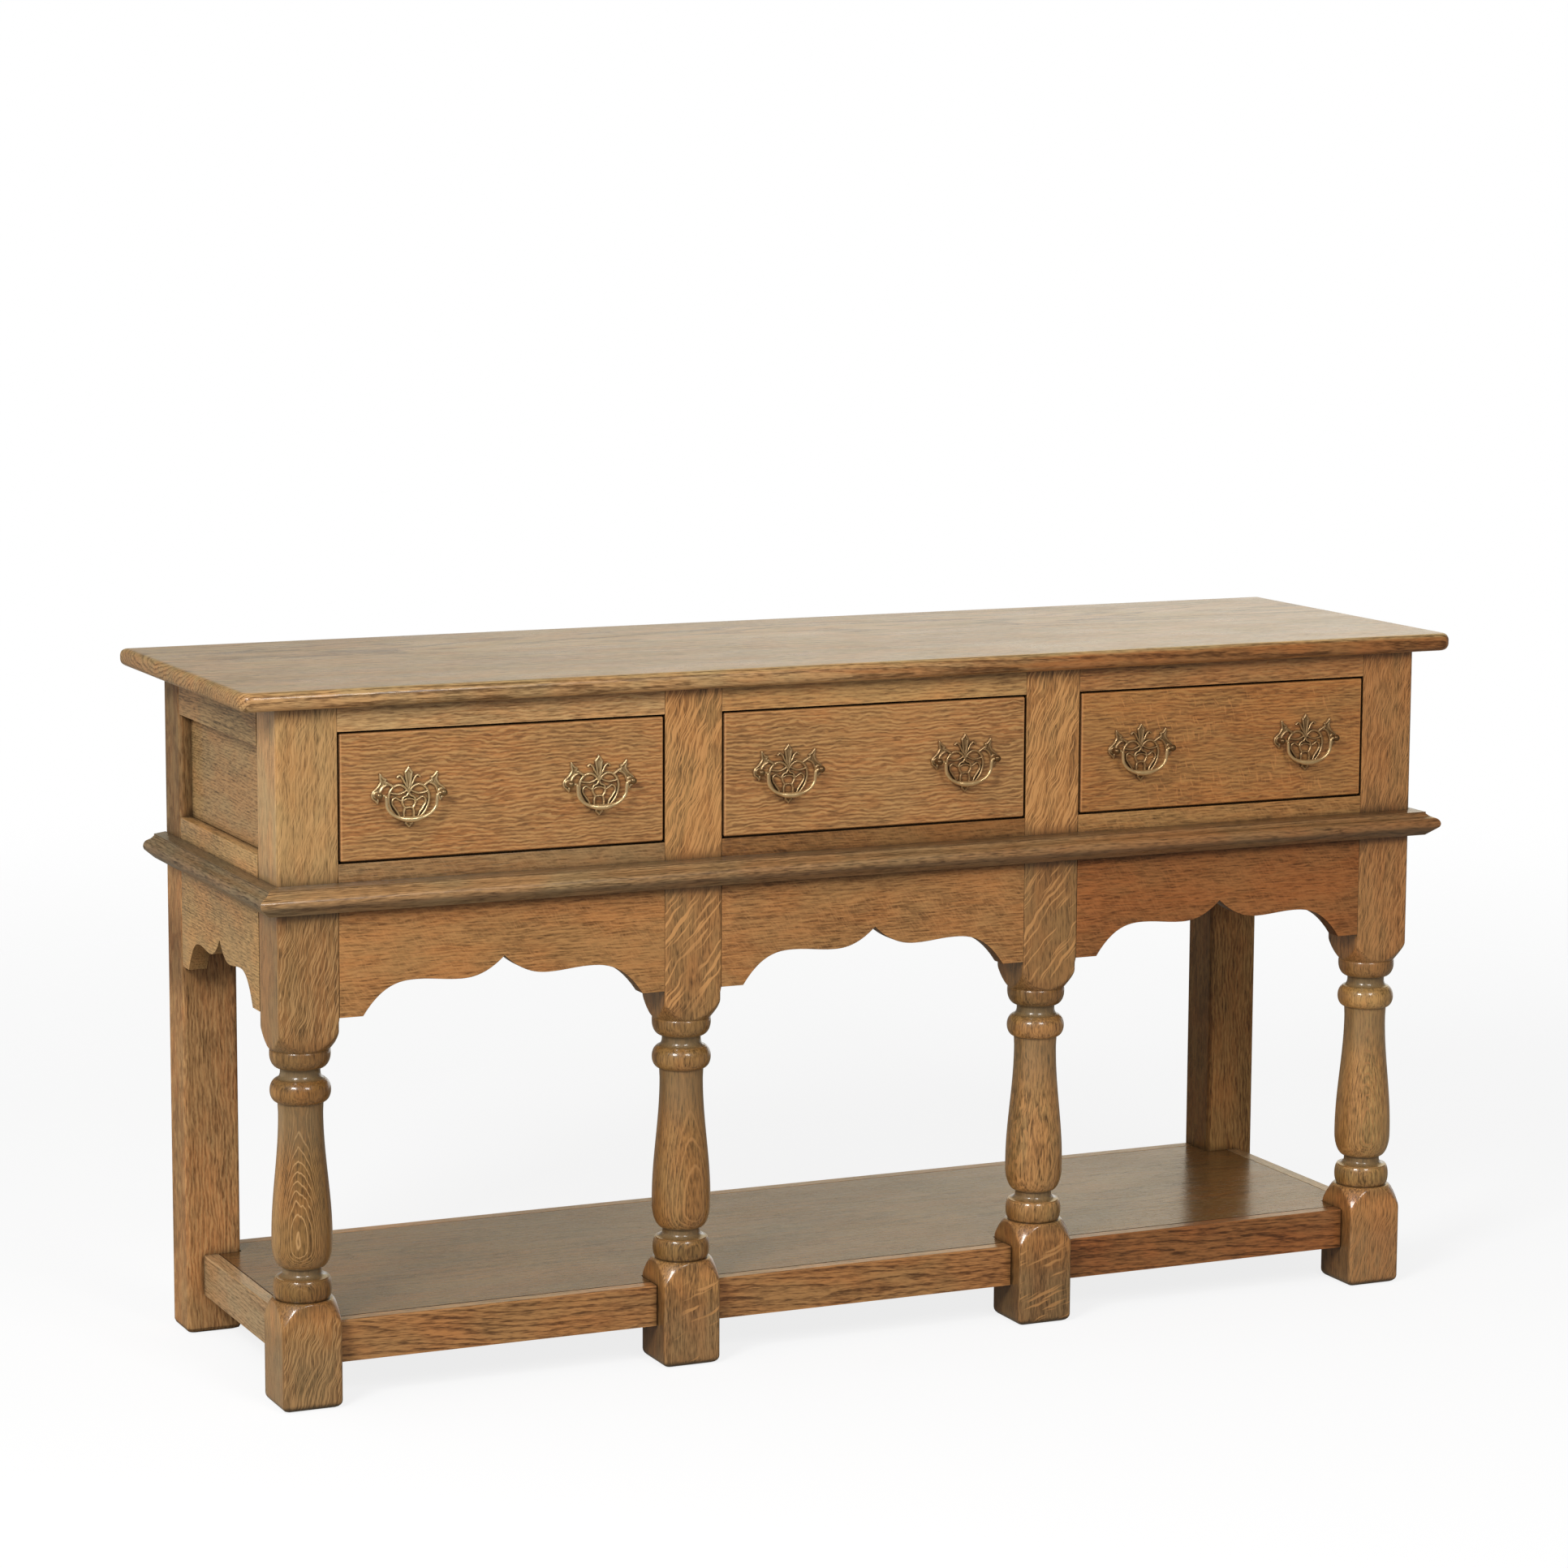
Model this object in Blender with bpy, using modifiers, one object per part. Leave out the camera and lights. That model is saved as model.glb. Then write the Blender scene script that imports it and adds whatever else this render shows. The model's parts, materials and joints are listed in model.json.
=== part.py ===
"""Dresser base: three drawers over shaped aprons, turned front legs, a waist moulding and a low potboard.

Metres. +X runs along the length, +Y to the back, +Z up; the origin is on the floor under the middle of the
bounding box. Every piece is its own object; drawers and bails hang from empties on their joint axes.
"""
import math

import bmesh
import bpy
from mathutils import Matrix, Vector

# Driving dimensions
HEIGHT = 0.810
TOP_THICK = 0.021
TOP_OVER_FRONT = 0.0195
TOP_OVER_SIDE = 0.045
TOP_OVER_BACK = 0.026
LEG = 0.070
BACK_LEG_WIDE = 0.066
BACK_LEG_DEEP = 0.060
BAY = 0.3885
CASE_DEPTH = 0.422
MOULD_OUT = 0.028
MOULD_HIGH = 0.0305
DRAWER_HIGH = 0.1465
TOP_RAIL_HIGH = 0.028
RAIL_SHOWN = 0.0205
GAP = 0.0003

# Places worked out from them
CASE_HALF = (4 * LEG + 3 * BAY) / 2
CASE_FRONT = (MOULD_OUT - CASE_DEPTH - TOP_OVER_BACK) / 2
CASE_BACK = CASE_FRONT + CASE_DEPTH
TOP_UNDER = HEIGHT - TOP_THICK
OPENING_TOP = TOP_UNDER - TOP_RAIL_HIGH
OPENING_BOTTOM = OPENING_TOP - DRAWER_HIGH
MOULD_TOP = OPENING_BOTTOM - RAIL_SHOWN
PITCH = LEG + BAY

# Frame boards
BOARD = 0.022
RAIL_DEEP = 0.045
APRON_DEEP = 0.1715
APRON_FLAT = 0.027
SIDE_FLAT = 0.024
OGEE_RISE = 0.037
OGEE_DIP = 0.0335
OGEE_POINT = 0.0560
SIDE_RAIL_HIGH = 0.049
SIDE_LEDGE = 0.0045
PANEL_THICK = 0.009
PANEL_IN = 0.0145
BACK_THICK = 0.010
BACK_IN = 0.002
BACK_DEEP = 0.289
BACK_RAIL_HIGH = 0.035
BACK_RAIL_THICK = 0.026
TOP_ROUND = 0.0085
FRONT_CORNER = 0.016
BACK_CORNER = 0.003
MOULD_FILLET = 0.0146
FILLET_FALL = 0.002
NOSE_DOWN = 0.0158
NOSE_HALF = 0.0075
NOSE_ROUND = 0.008
HOLLOW = 0.0008
APRON_LOW = OPENING_BOTTOM - APRON_DEEP
PANEL_LOW = OPENING_BOTTOM + SIDE_LEDGE

# Stretchers and potboard
STRETCH_LOW = 0.0465
STRETCH_HIGH = 0.048
STRETCH_THICK = 0.028
STRETCH_IN_FRONT = 0.021
STRETCH_IN_SIDE = 0.020
STRETCH_IN_BACK = 0.004
REBATE = 0.010
POTBOARD = 0.018

# Drawers and runners
DRAWER_GAP = 0.0022
DRAWER_PROUD = 0.001
FRONT_THICK = 0.020
FRONT_ROUND = 0.002
LINING = 0.010
SIDE_HIGH = 0.118
DRAWER_DEEP = 0.340
BOTTOM_THICK = 0.006
BOTTOM_UP = 0.010
RUNNER_HIGH = 0.020
RUNNER_WIDE = 0.014
GUIDE_HIGH = 0.020

# Handles
HANDLE_FROM_END = 0.0815
HANDLE_UP = 0.075
POST_HALF = 0.0375
PLATE_THICK = 0.0015
POST_OUT = 0.0115
KNOB = 0.0046
STEM = 0.0028
WIRE = 0.0016
PIVOT = 0.0014
PIVOT_FIT = 0.0005
BAIL_DROP = 0.030


def clear_scene():
    for obj in list(bpy.data.objects):
        bpy.data.objects.remove(obj, do_unlink=True)


def material(name, colour, roughness, metallic):
    made = bpy.data.materials.new(name)
    made.use_nodes = True
    shader = made.node_tree.nodes["Principled BSDF"]
    shader.inputs["Base Color"].default_value = (*colour, 1.0)
    shader.inputs["Roughness"].default_value = roughness
    shader.inputs["Metallic"].default_value = metallic
    return made


def empty(name, place):
    made = bpy.data.objects.new(name, None)
    made.location = place
    PARTS.objects.link(made)
    return made


def piece(name, mesh, finish, place=(0, 0, 0), turn=(0, 0, 0), parent=None):
    """One sub-part: its mesh, its material, where it stands and what carries it."""
    mesh.name = name
    mesh.materials.clear()
    mesh.materials.append(finish)
    made = bpy.data.objects.new(name, mesh)
    made.location = place
    made.rotation_euler = turn
    made.parent = parent
    PARTS.objects.link(made)
    return made


def box_mesh(size, rounding=0.0, segments=2):
    """A box about its own centre, its edges rounded when a radius is given."""
    shape = bmesh.new()
    bmesh.ops.create_cube(shape, size=1.0, matrix=Matrix.Diagonal((*size, 1.0)))
    if rounding:
        bmesh.ops.bevel(shape, geom=shape.edges[:], offset=rounding, segments=segments, profile=0.5,
                        affect="EDGES")
    return finished(shape)


def box(name, low, high, finish, rounding=0.0, parent=None):
    """A box between two corners, given in the frame of its parent."""
    low, high = Vector(low), Vector(high)
    return piece(name, box_mesh(high - low, rounding), finish, (low + high) / 2, parent=parent)


def finished(shape):
    bmesh.ops.recalc_face_normals(shape, faces=shape.faces[:])
    mesh = bpy.data.meshes.new("mesh")
    shape.to_mesh(mesh)
    shape.free()
    return mesh


def loft_mesh(rings):
    """A closed solid through rings of points, capped at both ends."""
    shape = bmesh.new()
    rows = [[shape.verts.new(point) for point in ring] for ring in rings]
    count = len(rings[0])
    for one, two in zip(rows, rows[1:]):
        for k in range(count):
            shape.faces.new((one[k], one[(k + 1) % count], two[(k + 1) % count], two[k]))
    shape.faces.new(rows[0])
    shape.faces.new(rows[-1])
    return finished(shape)


def outline_mesh(loops, thickness):
    """A flat outline in local XY, later loops pierced, thickened evenly about local Z."""
    curve = bpy.data.curves.new("outline", "CURVE")
    curve.dimensions = "2D"
    curve.fill_mode = "BOTH"
    curve.extrude = thickness / 2
    for loop in loops:
        spline = curve.splines.new("POLY")
        spline.points.add(len(loop) - 1)
        for point, (across, up) in zip(spline.points, loop):
            point.co = (across, up, 0, 1)
        spline.use_cyclic_u = True
    return mesh_of(bpy.data.objects.new("outline", curve))


def mesh_of(source):
    """The mesh a curve or a modified object makes, welded; the source is taken away."""
    CUTTERS.objects.link(source)
    bpy.context.view_layer.update()
    graph = bpy.context.evaluated_depsgraph_get()
    mesh = bpy.data.meshes.new_from_object(source.evaluated_get(graph))
    shape = bmesh.new()
    shape.from_mesh(mesh)
    bmesh.ops.remove_doubles(shape, verts=shape.verts[:], dist=1e-6)
    bmesh.ops.recalc_face_normals(shape, faces=shape.faces[:])
    shape.to_mesh(mesh)
    shape.free()
    bpy.data.objects.remove(source, do_unlink=True)
    return mesh


def combined(mesh, others):
    """A mesh with other meshes joined to it or cut from it: others is a list of (operation, mesh)."""
    base = bpy.data.objects.new("base", mesh)
    tools = []
    for operation, other in others:
        tool = bpy.data.objects.new("tool", other)
        CUTTERS.objects.link(tool)
        tool.hide_render = True
        tool.display_type = "WIRE"
        step = base.modifiers.new(operation, "BOOLEAN")
        step.operation = operation
        step.solver = "EXACT"
        step.object = tool
        tools.append(tool)
    result = mesh_of(base)
    for tool in tools:
        bpy.data.objects.remove(tool, do_unlink=True)
    return result


STAND_X = (math.pi / 2, 0, 0)
STAND_Y = (math.pi / 2, 0, math.pi / 2)


def arc(centre, radii, start, end, steps):
    """Points on an ellipse from one angle to another, in degrees."""
    points = []
    for k in range(steps + 1):
        angle = math.radians(start + (end - start) * k / steps)
        points.append((centre[0] + radii[0] * math.cos(angle), centre[1] + radii[1] * math.sin(angle)))
    return points


# Legs, with the heights of the turned elements from the foot up and from the apron down
FOOT_ROUND = 0.006
ARRIS = 0.004
FOOT_BLOCK = 0.090
FOOT_SHOULDER = 0.0325
BASE_RING = 0.023
BASE_LIP = 0.0012
LOW_NECK = 0.0105
BELLY = 0.028
VASE_WIDEST = 0.032
PUMMEL_DOWN = 0.006
PUMMEL = 0.0305
STEP = 0.002
CUP = 0.020
CUP_EDGE = 0.004
UPPER_NECK = 0.0122
FLARE = 0.008
COLLAR = 0.0262
COLLAR_LIP = 0.0052
COVE = 0.012
TURN_SPARE = 0.001
UPPER_NECK_R = 0.0224
VASE_TOP_R = 0.0250
LOW_NECK_R = 0.0216
BASE_LIP_R = 0.0298
RING_END_R = 0.0256
LATHE_STEPS = 16


def post_ring(wide, deep, inset, height):
    """A rectangle with rounded corners, level at a height and drawn in by an inset."""
    ring = []
    for quarter, (sx, sy) in enumerate(((1, 1), (-1, 1), (-1, -1), (1, -1))):
        centre = (sx * (wide / 2 - inset - ARRIS), sy * (deep / 2 - inset - ARRIS))
        ring += arc(centre, (ARRIS, ARRIS), 90 * quarter, 90 * quarter + 90, 2)
    return [(x, y, height) for x, y in ring]


def leg_blank(wide, deep):
    return loft_mesh([
        post_ring(wide, deep, FOOT_ROUND, 0),
        post_ring(wide, deep, FOOT_ROUND * 0.3, FOOT_ROUND * 0.3),
        post_ring(wide, deep, 0, FOOT_ROUND),
        post_ring(wide, deep, 0, TOP_UNDER - GAP),
    ])


def turned_profile():
    """Radius and height down the leg: square, cup, neck, collar, vase, ring and the foot's shoulder."""
    full = LEG / 2 - TURN_SPARE
    clear = LEG * math.sqrt(0.5) + 2 * TURN_SPARE
    pummel = APRON_LOW - PUMMEL_DOWN
    cup = pummel - PUMMEL - STEP
    collar = cup - CUP - UPPER_NECK
    vase = collar - COLLAR - COVE
    foot = FOOT_BLOCK + FOOT_SHOULDER
    base = foot + STEP + BASE_RING
    neck = base + LOW_NECK
    widest = neck + VASE_WIDEST

    profile = [(0, TOP_UNDER), (clear, TOP_UNDER), (clear, pummel)]
    for share in (0.4, 0.75, 1):
        profile.append((clear - (clear - full) * share ** 1.45, pummel - PUMMEL * share))
    profile += arc((UPPER_NECK_R, cup - CUP_EDGE), (full - UPPER_NECK_R, CUP - CUP_EDGE), 0, -90, 4)
    flared = (UPPER_NECK_R + COLLAR_LIP, collar + FLARE)
    profile += arc(flared, (COLLAR_LIP, FLARE), 180, 270, 3)
    profile += arc((RING_END_R, collar - COLLAR / 2), (full - RING_END_R, COLLAR / 2), 70, -90, 5)
    profile.append(((RING_END_R + VASE_TOP_R) / 2, vase + COVE / 2))
    for k in range(6):
        share = k / 5
        swell = (1 - math.cos(math.pi * share)) / 2
        profile.append((VASE_TOP_R + (full - VASE_TOP_R) * swell, vase + (widest - vase) * share))
    profile += arc((LOW_NECK_R, neck + BELLY), (full - LOW_NECK_R, BELLY), 0, -90, 4)[1:]
    scotia = (BASE_LIP_R - LOW_NECK_R, LOW_NECK * 0.6)
    profile += arc((BASE_LIP_R, base + scotia[1]), scotia, 180, 270, 3)
    ring = (full - TURN_SPARE - BASE_LIP_R + STEP, BASE_RING * 0.6)
    profile += arc((BASE_LIP_R - STEP, base - BASE_LIP - BASE_RING / 2), ring, 56, -62, 4)
    for share in (0, 0.3, 0.65, 1):
        profile.append((full + (clear - full) * share, foot - FOOT_SHOULDER * share ** 1.3))
    profile += [(clear, -TURN_SPARE), (0, -TURN_SPARE)]
    return profile


def turned_leg():
    """The square blank brought to the turned profile, as on a lathe."""
    shape = bmesh.new()
    row = [shape.verts.new((radius, 0, height)) for radius, height in turned_profile()]
    for one, two in zip(row, row[1:]):
        shape.edges.new((one, two))
    mesh = bpy.data.meshes.new("profile")
    shape.to_mesh(mesh)
    shape.free()
    lathe = bpy.data.objects.new("profile", mesh)
    spin = lathe.modifiers.new("spin", "SCREW")
    spin.axis = "Z"
    spin.steps = LATHE_STEPS
    spin.render_steps = LATHE_STEPS
    spin.use_merge_vertices = True
    spin.merge_threshold = 0.00005
    return combined(leg_blank(LEG, LEG), [("INTERSECT", mesh_of(lathe))])


def legs(oak):
    turned = turned_leg()
    for k in range(4):
        across = (k - 1.5) * PITCH
        piece(f"front_leg_{k + 1}", turned.copy(), oak, (across, CASE_FRONT + LEG / 2, 0))
    for name, side in (("left", -1), ("right", 1)):
        place = (side * (CASE_HALF - BACK_LEG_WIDE / 2), CASE_BACK - BACK_LEG_DEEP / 2, 0)
        piece(f"back_leg_{name}", leg_blank(BACK_LEG_WIDE, BACK_LEG_DEEP), oak, place)


# Front and side frame
def ogee_edge(half, low, flat):
    """The shaped lower edge between two posts: flat ends, a double ogee and a point in the middle."""
    span = half - flat
    crown, hollow = span * 0.62, span * 0.31
    right = [(half, low)]
    for k in range(5):
        share = k / 4
        right.append((span + (crown - span) * share, low + OGEE_RISE * (1 - (1 - share) ** 2.6)))
    right.append(((crown + hollow) / 2, low + (OGEE_RISE + OGEE_DIP) / 2))
    for k in range(4):
        share = k / 4
        right.append((hollow * (1 - share), low + OGEE_DIP + (OGEE_POINT - OGEE_DIP) * share ** 2.2))
    left = [(-across, up) for across, up in reversed(right)]
    return right + [(0, low + OGEE_POINT)] + left


def aprons(oak):
    half = BAY / 2 - GAP
    outline = ogee_edge(half, APRON_LOW, APRON_FLAT) + [(-half, OPENING_BOTTOM), (half, OPENING_BOTTOM)]
    for k in range(3):
        place = ((k - 1) * PITCH, CASE_FRONT + BOARD / 2, 0)
        piece(f"apron_{k + 1}", outline_mesh([outline], BOARD), oak, place, STAND_X)


def top_rails(oak):
    for k in range(3):
        middle = (k - 1) * PITCH
        half = BAY / 2 - GAP
        box(f"top_rail_{k + 1}", (middle - half, CASE_FRONT, OPENING_TOP),
            (middle + half, CASE_FRONT + RAIL_DEEP, TOP_UNDER - GAP), oak)


def sides(oak):
    front = CASE_FRONT + LEG + GAP
    back = CASE_BACK - BACK_LEG_DEEP - GAP
    middle, half = (front + back) / 2, (back - front) / 2
    top_rail_low = TOP_UNDER - SIDE_RAIL_HIGH
    shaped = ogee_edge(half, APRON_LOW, SIDE_FLAT) + [(-half, PANEL_LOW), (half, PANEL_LOW)]
    for name, side in (("left", -1), ("right", 1)):
        across = side * (CASE_HALF - BOARD / 2)
        piece(f"side_apron_{name}", outline_mesh([shaped], BOARD), oak, (across, middle, 0), STAND_Y)
        across = side * (CASE_HALF - PANEL_IN - PANEL_THICK / 2)
        size = (PANEL_THICK, 2 * half, top_rail_low - PANEL_LOW - 2 * GAP)
        piece(f"side_panel_{name}", box_mesh(size), oak, (across, middle, (PANEL_LOW + top_rail_low) / 2))
        across = side * (CASE_HALF - BOARD / 2)
        size = (BOARD, 2 * half, SIDE_RAIL_HIGH - GAP)
        piece(f"side_top_rail_{name}", box_mesh(size), oak, (across, middle, top_rail_low + size[2] / 2))


def waist_moulding(oak):
    """One frame mitred round the front and both ends: a fillet, a hollow, a round nose, a slope back."""
    top = MOULD_TOP
    low = MOULD_TOP - MOULD_HIGH
    nose = arc((MOULD_OUT - NOSE_ROUND, top - NOSE_DOWN), (NOSE_ROUND, NOSE_HALF), 72, -35, 6)
    brow = (MOULD_FILLET, top - FILLET_FALL)
    hollow = ((brow[0] + nose[0][0]) / 2 - HOLLOW, (brow[1] + nose[0][1]) / 2 - HOLLOW)
    section = [(GAP, low), (GAP, top), brow, hollow, *nose, (MOULD_FILLET, low)]
    rings = []
    for x_sign, front in ((-1, False), (-1, True), (1, True), (1, False)):
        ring = []
        for out, height in section:
            depth = CASE_FRONT - out if front else CASE_BACK
            ring.append((x_sign * (CASE_HALF + out), depth, height))
        rings.append(ring)
    piece("waist_moulding", loft_mesh(rings), oak)


def back(inside):
    half = CASE_HALF - BACK_LEG_WIDE - GAP
    face = CASE_BACK - BACK_IN
    box("back_panel", (-half, face - BACK_THICK, TOP_UNDER - BACK_DEEP), (half, face, TOP_UNDER - GAP), inside)
    rail_back = face - BACK_THICK - GAP
    box("back_rail", (-half, rail_back - BACK_RAIL_THICK, OPENING_BOTTOM - BACK_RAIL_HIGH),
        (half, rail_back, OPENING_BOTTOM), inside)


def top_ring(inset, height):
    """The top's plan at a height, drawn in by an inset, with wider curves at the front corners."""
    across = CASE_HALF + TOP_OVER_SIDE - inset
    near, far = CASE_FRONT - TOP_OVER_FRONT + inset, CASE_BACK + TOP_OVER_BACK - inset
    front, rear = FRONT_CORNER - inset, max(BACK_CORNER - inset, 0.001)
    ring = arc((across - rear, far - rear), (rear, rear), 0, 90, 2)
    ring += arc((rear - across, far - rear), (rear, rear), 90, 180, 2)
    ring += arc((front - across, near + front), (front, front), 180, 270, 4)
    ring += arc((across - front, near + front), (front, front), 270, 360, 4)
    return [(x, y, height) for x, y in ring]


def top_board(oak):
    under = arc((TOP_ROUND, TOP_UNDER + TOP_ROUND), (TOP_ROUND, TOP_ROUND), 270, 180, 3)
    over = arc((TOP_ROUND, HEIGHT - TOP_ROUND), (TOP_ROUND, TOP_ROUND), 180, 90, 3)
    piece("top_board", loft_mesh([top_ring(inset, height) for inset, height in under + over]), oak)


# Stretchers and potboard
def stretcher_section(face, inward):
    """Section across a stretcher from its outer face, with the rebate that carries the potboard."""
    top = STRETCH_LOW + STRETCH_HIGH
    floor = top - POTBOARD - GAP
    soft = 0.0015
    depths = (0, STRETCH_THICK, STRETCH_THICK, STRETCH_THICK - REBATE, STRETCH_THICK - REBATE, soft, 0)
    heights = (STRETCH_LOW, STRETCH_LOW, floor, floor, top, top, top - soft)
    return [(face + inward * depth, height) for depth, height in zip(depths, heights)]


def stretchers(oak):
    across = stretcher_section(CASE_FRONT + STRETCH_IN_FRONT, 1)
    for k in range(3):
        mesh = outline_mesh([across], BAY - 2 * GAP)
        piece(f"stretcher_front_{k + 1}", mesh, oak, ((k - 1) * PITCH, 0, 0), STAND_Y)
    across = stretcher_section(CASE_BACK - STRETCH_IN_BACK, -1)
    length = 2 * (CASE_HALF - BACK_LEG_WIDE - GAP)
    piece("stretcher_back", outline_mesh([across], length), oak, (0, 0, 0), STAND_Y)
    front = CASE_FRONT + LEG + GAP
    rear = CASE_BACK - BACK_LEG_DEEP - GAP
    for name, side in (("left", -1), ("right", 1)):
        across = stretcher_section(side * (CASE_HALF - STRETCH_IN_SIDE), -side)
        place = (0, (front + rear) / 2, 0)
        piece(f"stretcher_{name}", outline_mesh([across], rear - front), oak, place, STAND_X)


def potboard(oak):
    """The low shelf, notched round the six legs and let into the stretchers' rebates."""
    lip = STRETCH_THICK - REBATE + GAP
    front = CASE_FRONT + STRETCH_IN_FRONT + lip
    rear = CASE_BACK - STRETCH_IN_BACK - lip
    end = CASE_HALF - STRETCH_IN_SIDE - lip
    notch = CASE_FRONT + LEG + GAP
    half = [(BAY / 2 - GAP, front), (BAY / 2 - GAP, notch), (BAY / 2 + LEG + GAP, notch)]
    half += [(BAY / 2 + LEG + GAP, front), (CASE_HALF - LEG - GAP, front), (CASE_HALF - LEG - GAP, notch)]
    post = (CASE_HALF - BACK_LEG_WIDE - GAP, CASE_BACK - BACK_LEG_DEEP - GAP)
    half += [(end, notch), (end, post[1]), post, (post[0], rear)]
    outline = half + [(-across, depth) for across, depth in reversed(half)]
    height = STRETCH_LOW + STRETCH_HIGH - POTBOARD / 2
    piece("potboard", outline_mesh([outline], POTBOARD), oak, (0, 0, height))


# Drawer runners
def runners(inside):
    """Bearers with a guide between neighbouring drawers, from the posts back to the rail or the back legs."""
    low, high = OPENING_BOTTOM - RUNNER_HIGH, OPENING_BOTTOM
    front = CASE_FRONT + LEG + GAP
    rail_face = CASE_BACK - BACK_IN - BACK_THICK - BACK_RAIL_THICK - 2 * GAP
    leg_face = CASE_BACK - BACK_LEG_DEEP - GAP
    wide, guide = LEG / 2 + RUNNER_WIDE, LEG / 2 - GAP
    tee = [(-wide, low), (wide, low), (wide, high), (guide, high), (guide, high + GUIDE_HIGH)]
    tee += [(-guide, high + GUIDE_HIGH), (-guide, high), (-wide, high)]
    outer = CASE_HALF - PANEL_IN - PANEL_THICK - GAP
    inner = CASE_HALF - LEG
    ell = [(outer, low), (outer, high + GUIDE_HIGH), (inner + GAP, high + GUIDE_HIGH), (inner + GAP, high)]
    ell += [(inner - RUNNER_WIDE, high), (inner - RUNNER_WIDE, low)]
    mirrored = [(-across, height) for across, height in ell]
    plan = (("runner_left", mirrored, 0, leg_face), ("runner_middle_left", tee, -PITCH / 2, rail_face),
            ("runner_middle_right", tee, PITCH / 2, rail_face), ("runner_right", ell, 0, leg_face))
    for name, outline, across, rear in plan:
        mesh = outline_mesh([outline], rear - front)
        piece(name, mesh, inside, (across, (front + rear) / 2, 0), STAND_X)


# Drawers
def drawer(number, oak, inside, brass):
    """Five boards and two handles, all carried by an empty on the drawer's line of travel."""
    base = empty(f"drawer_{number}", ((number - 2) * PITCH, CASE_FRONT - DRAWER_PROUD, OPENING_BOTTOM))
    half = BAY / 2 - DRAWER_GAP
    name = f"drawer_{number}_"
    box(name + "front", (-half, 0, DRAWER_GAP), (half, FRONT_THICK, DRAWER_HIGH - DRAWER_GAP), oak,
        FRONT_ROUND, base)
    near, far = FRONT_THICK + GAP, DRAWER_DEEP
    inner = half - LINING
    box(name + "left_side", (-half, near, GAP), (-inner, far, SIDE_HIGH), inside, parent=base)
    box(name + "right_side", (inner, near, GAP), (half, far, SIDE_HIGH), inside, parent=base)
    reach = inner - GAP
    box(name + "back", (-reach, far - LINING, BOTTOM_UP), (reach, far, SIDE_HIGH - 0.006), inside, parent=base)
    box(name + "bottom", (-reach, near, BOTTOM_UP), (reach, far - LINING - GAP, BOTTOM_UP + BOTTOM_THICK),
        inside, parent=base)
    out = BAY / 2 - HANDLE_FROM_END
    for side, across in (("left", -out), ("right", out)):
        handle(name + side, across, base, brass)


# Handles
def scroll_outline():
    """The plate's edge: a fleur on top, an ear and a post lobe each side, narrowing to a point below."""
    half = [(0.0, -0.037), (0.004, -0.032), (0.013, -0.0300), (0.020, -0.0265), (0.0245, -0.0205)]
    half += [(0.0275, -0.0115), (0.0315, -0.0075)]
    half += arc((POST_HALF, 0.0), (0.0062, 0.0068), -110, 50, 4)
    half += [(0.0375, 0.0115), (0.0375, 0.0175), (0.0345, 0.0220), (0.0310, 0.0165), (0.0265, 0.0130)]
    half += arc((0.0165, 0.0120), (0.0070, 0.0050), 35, 150, 3)
    half += [(0.0062, 0.0150), (0.0052, 0.0190), (0.0068, 0.0225), (0.0030, 0.0240)]
    mirrored = [(-across, up) for across, up in reversed(half[1:])]
    return half + [(0.0, 0.0305)] + mirrored


def scroll_piercings():
    """Oval holes in pairs either side of the stem, and one below it."""
    pairs = ((0.0165, 0.0085, 0.0052, 0.0038), (0.0068, 0.0035, 0.0032, 0.0060),
             (0.0150, -0.0055, 0.0040, 0.0055), (0.0250, 0.0020, 0.0030, 0.0065),
             (0.0160, -0.0195, 0.0036, 0.0052))
    loops = [arc((0.0, -0.0170), (0.0042, 0.0095), 0, 300, 5)]
    for across, up, wide, high in pairs:
        for side in (-1, 1):
            loops.append(arc((side * across, up), (wide, high), 0, 300, 5))
    return loops


def ball_mesh(centre, radius):
    shape = bmesh.new()
    bmesh.ops.create_uvsphere(shape, u_segments=8, v_segments=5, radius=radius,
                              matrix=Matrix.Translation(centre))
    return finished(shape)


def rod_mesh(start, end, radius, segments=8):
    start, end = Vector(start), Vector(end)
    turn = (end - start).to_track_quat("Z", "Y").to_matrix().to_4x4()
    shape = bmesh.new()
    bmesh.ops.create_cone(shape, cap_ends=True, segments=segments, radius1=radius, radius2=radius,
                          depth=(end - start).length, matrix=Matrix.Translation((start + end) / 2) @ turn)
    return finished(shape)


def plate_mesh():
    """Pierced plate with two posts, each bored from the inside for the bail's pivot."""
    plate = outline_mesh([scroll_outline(), *scroll_piercings()], PLATE_THICK)
    plate.transform(Matrix.Rotation(math.pi / 2, 4, "X"))
    plate.transform(Matrix.Translation((0, -GAP - PLATE_THICK / 2, 0)))
    steps = []
    for side in (-1, 1):
        across = side * POST_HALF
        steps.append(("UNION", rod_mesh((across, -GAP - PLATE_THICK / 2, 0), (across, -POST_OUT, 0), STEM)))
        steps.append(("UNION", ball_mesh((across, -POST_OUT, 0), KNOB)))
        bore_end = across - side * 0.0001
        steps.append(("DIFFERENCE", rod_mesh((across - side * 2 * KNOB, -POST_OUT, 0), (bore_end, -POST_OUT, 0),
                                             PIVOT + PIVOT_FIT)))
    return combined(plate, steps)


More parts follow.
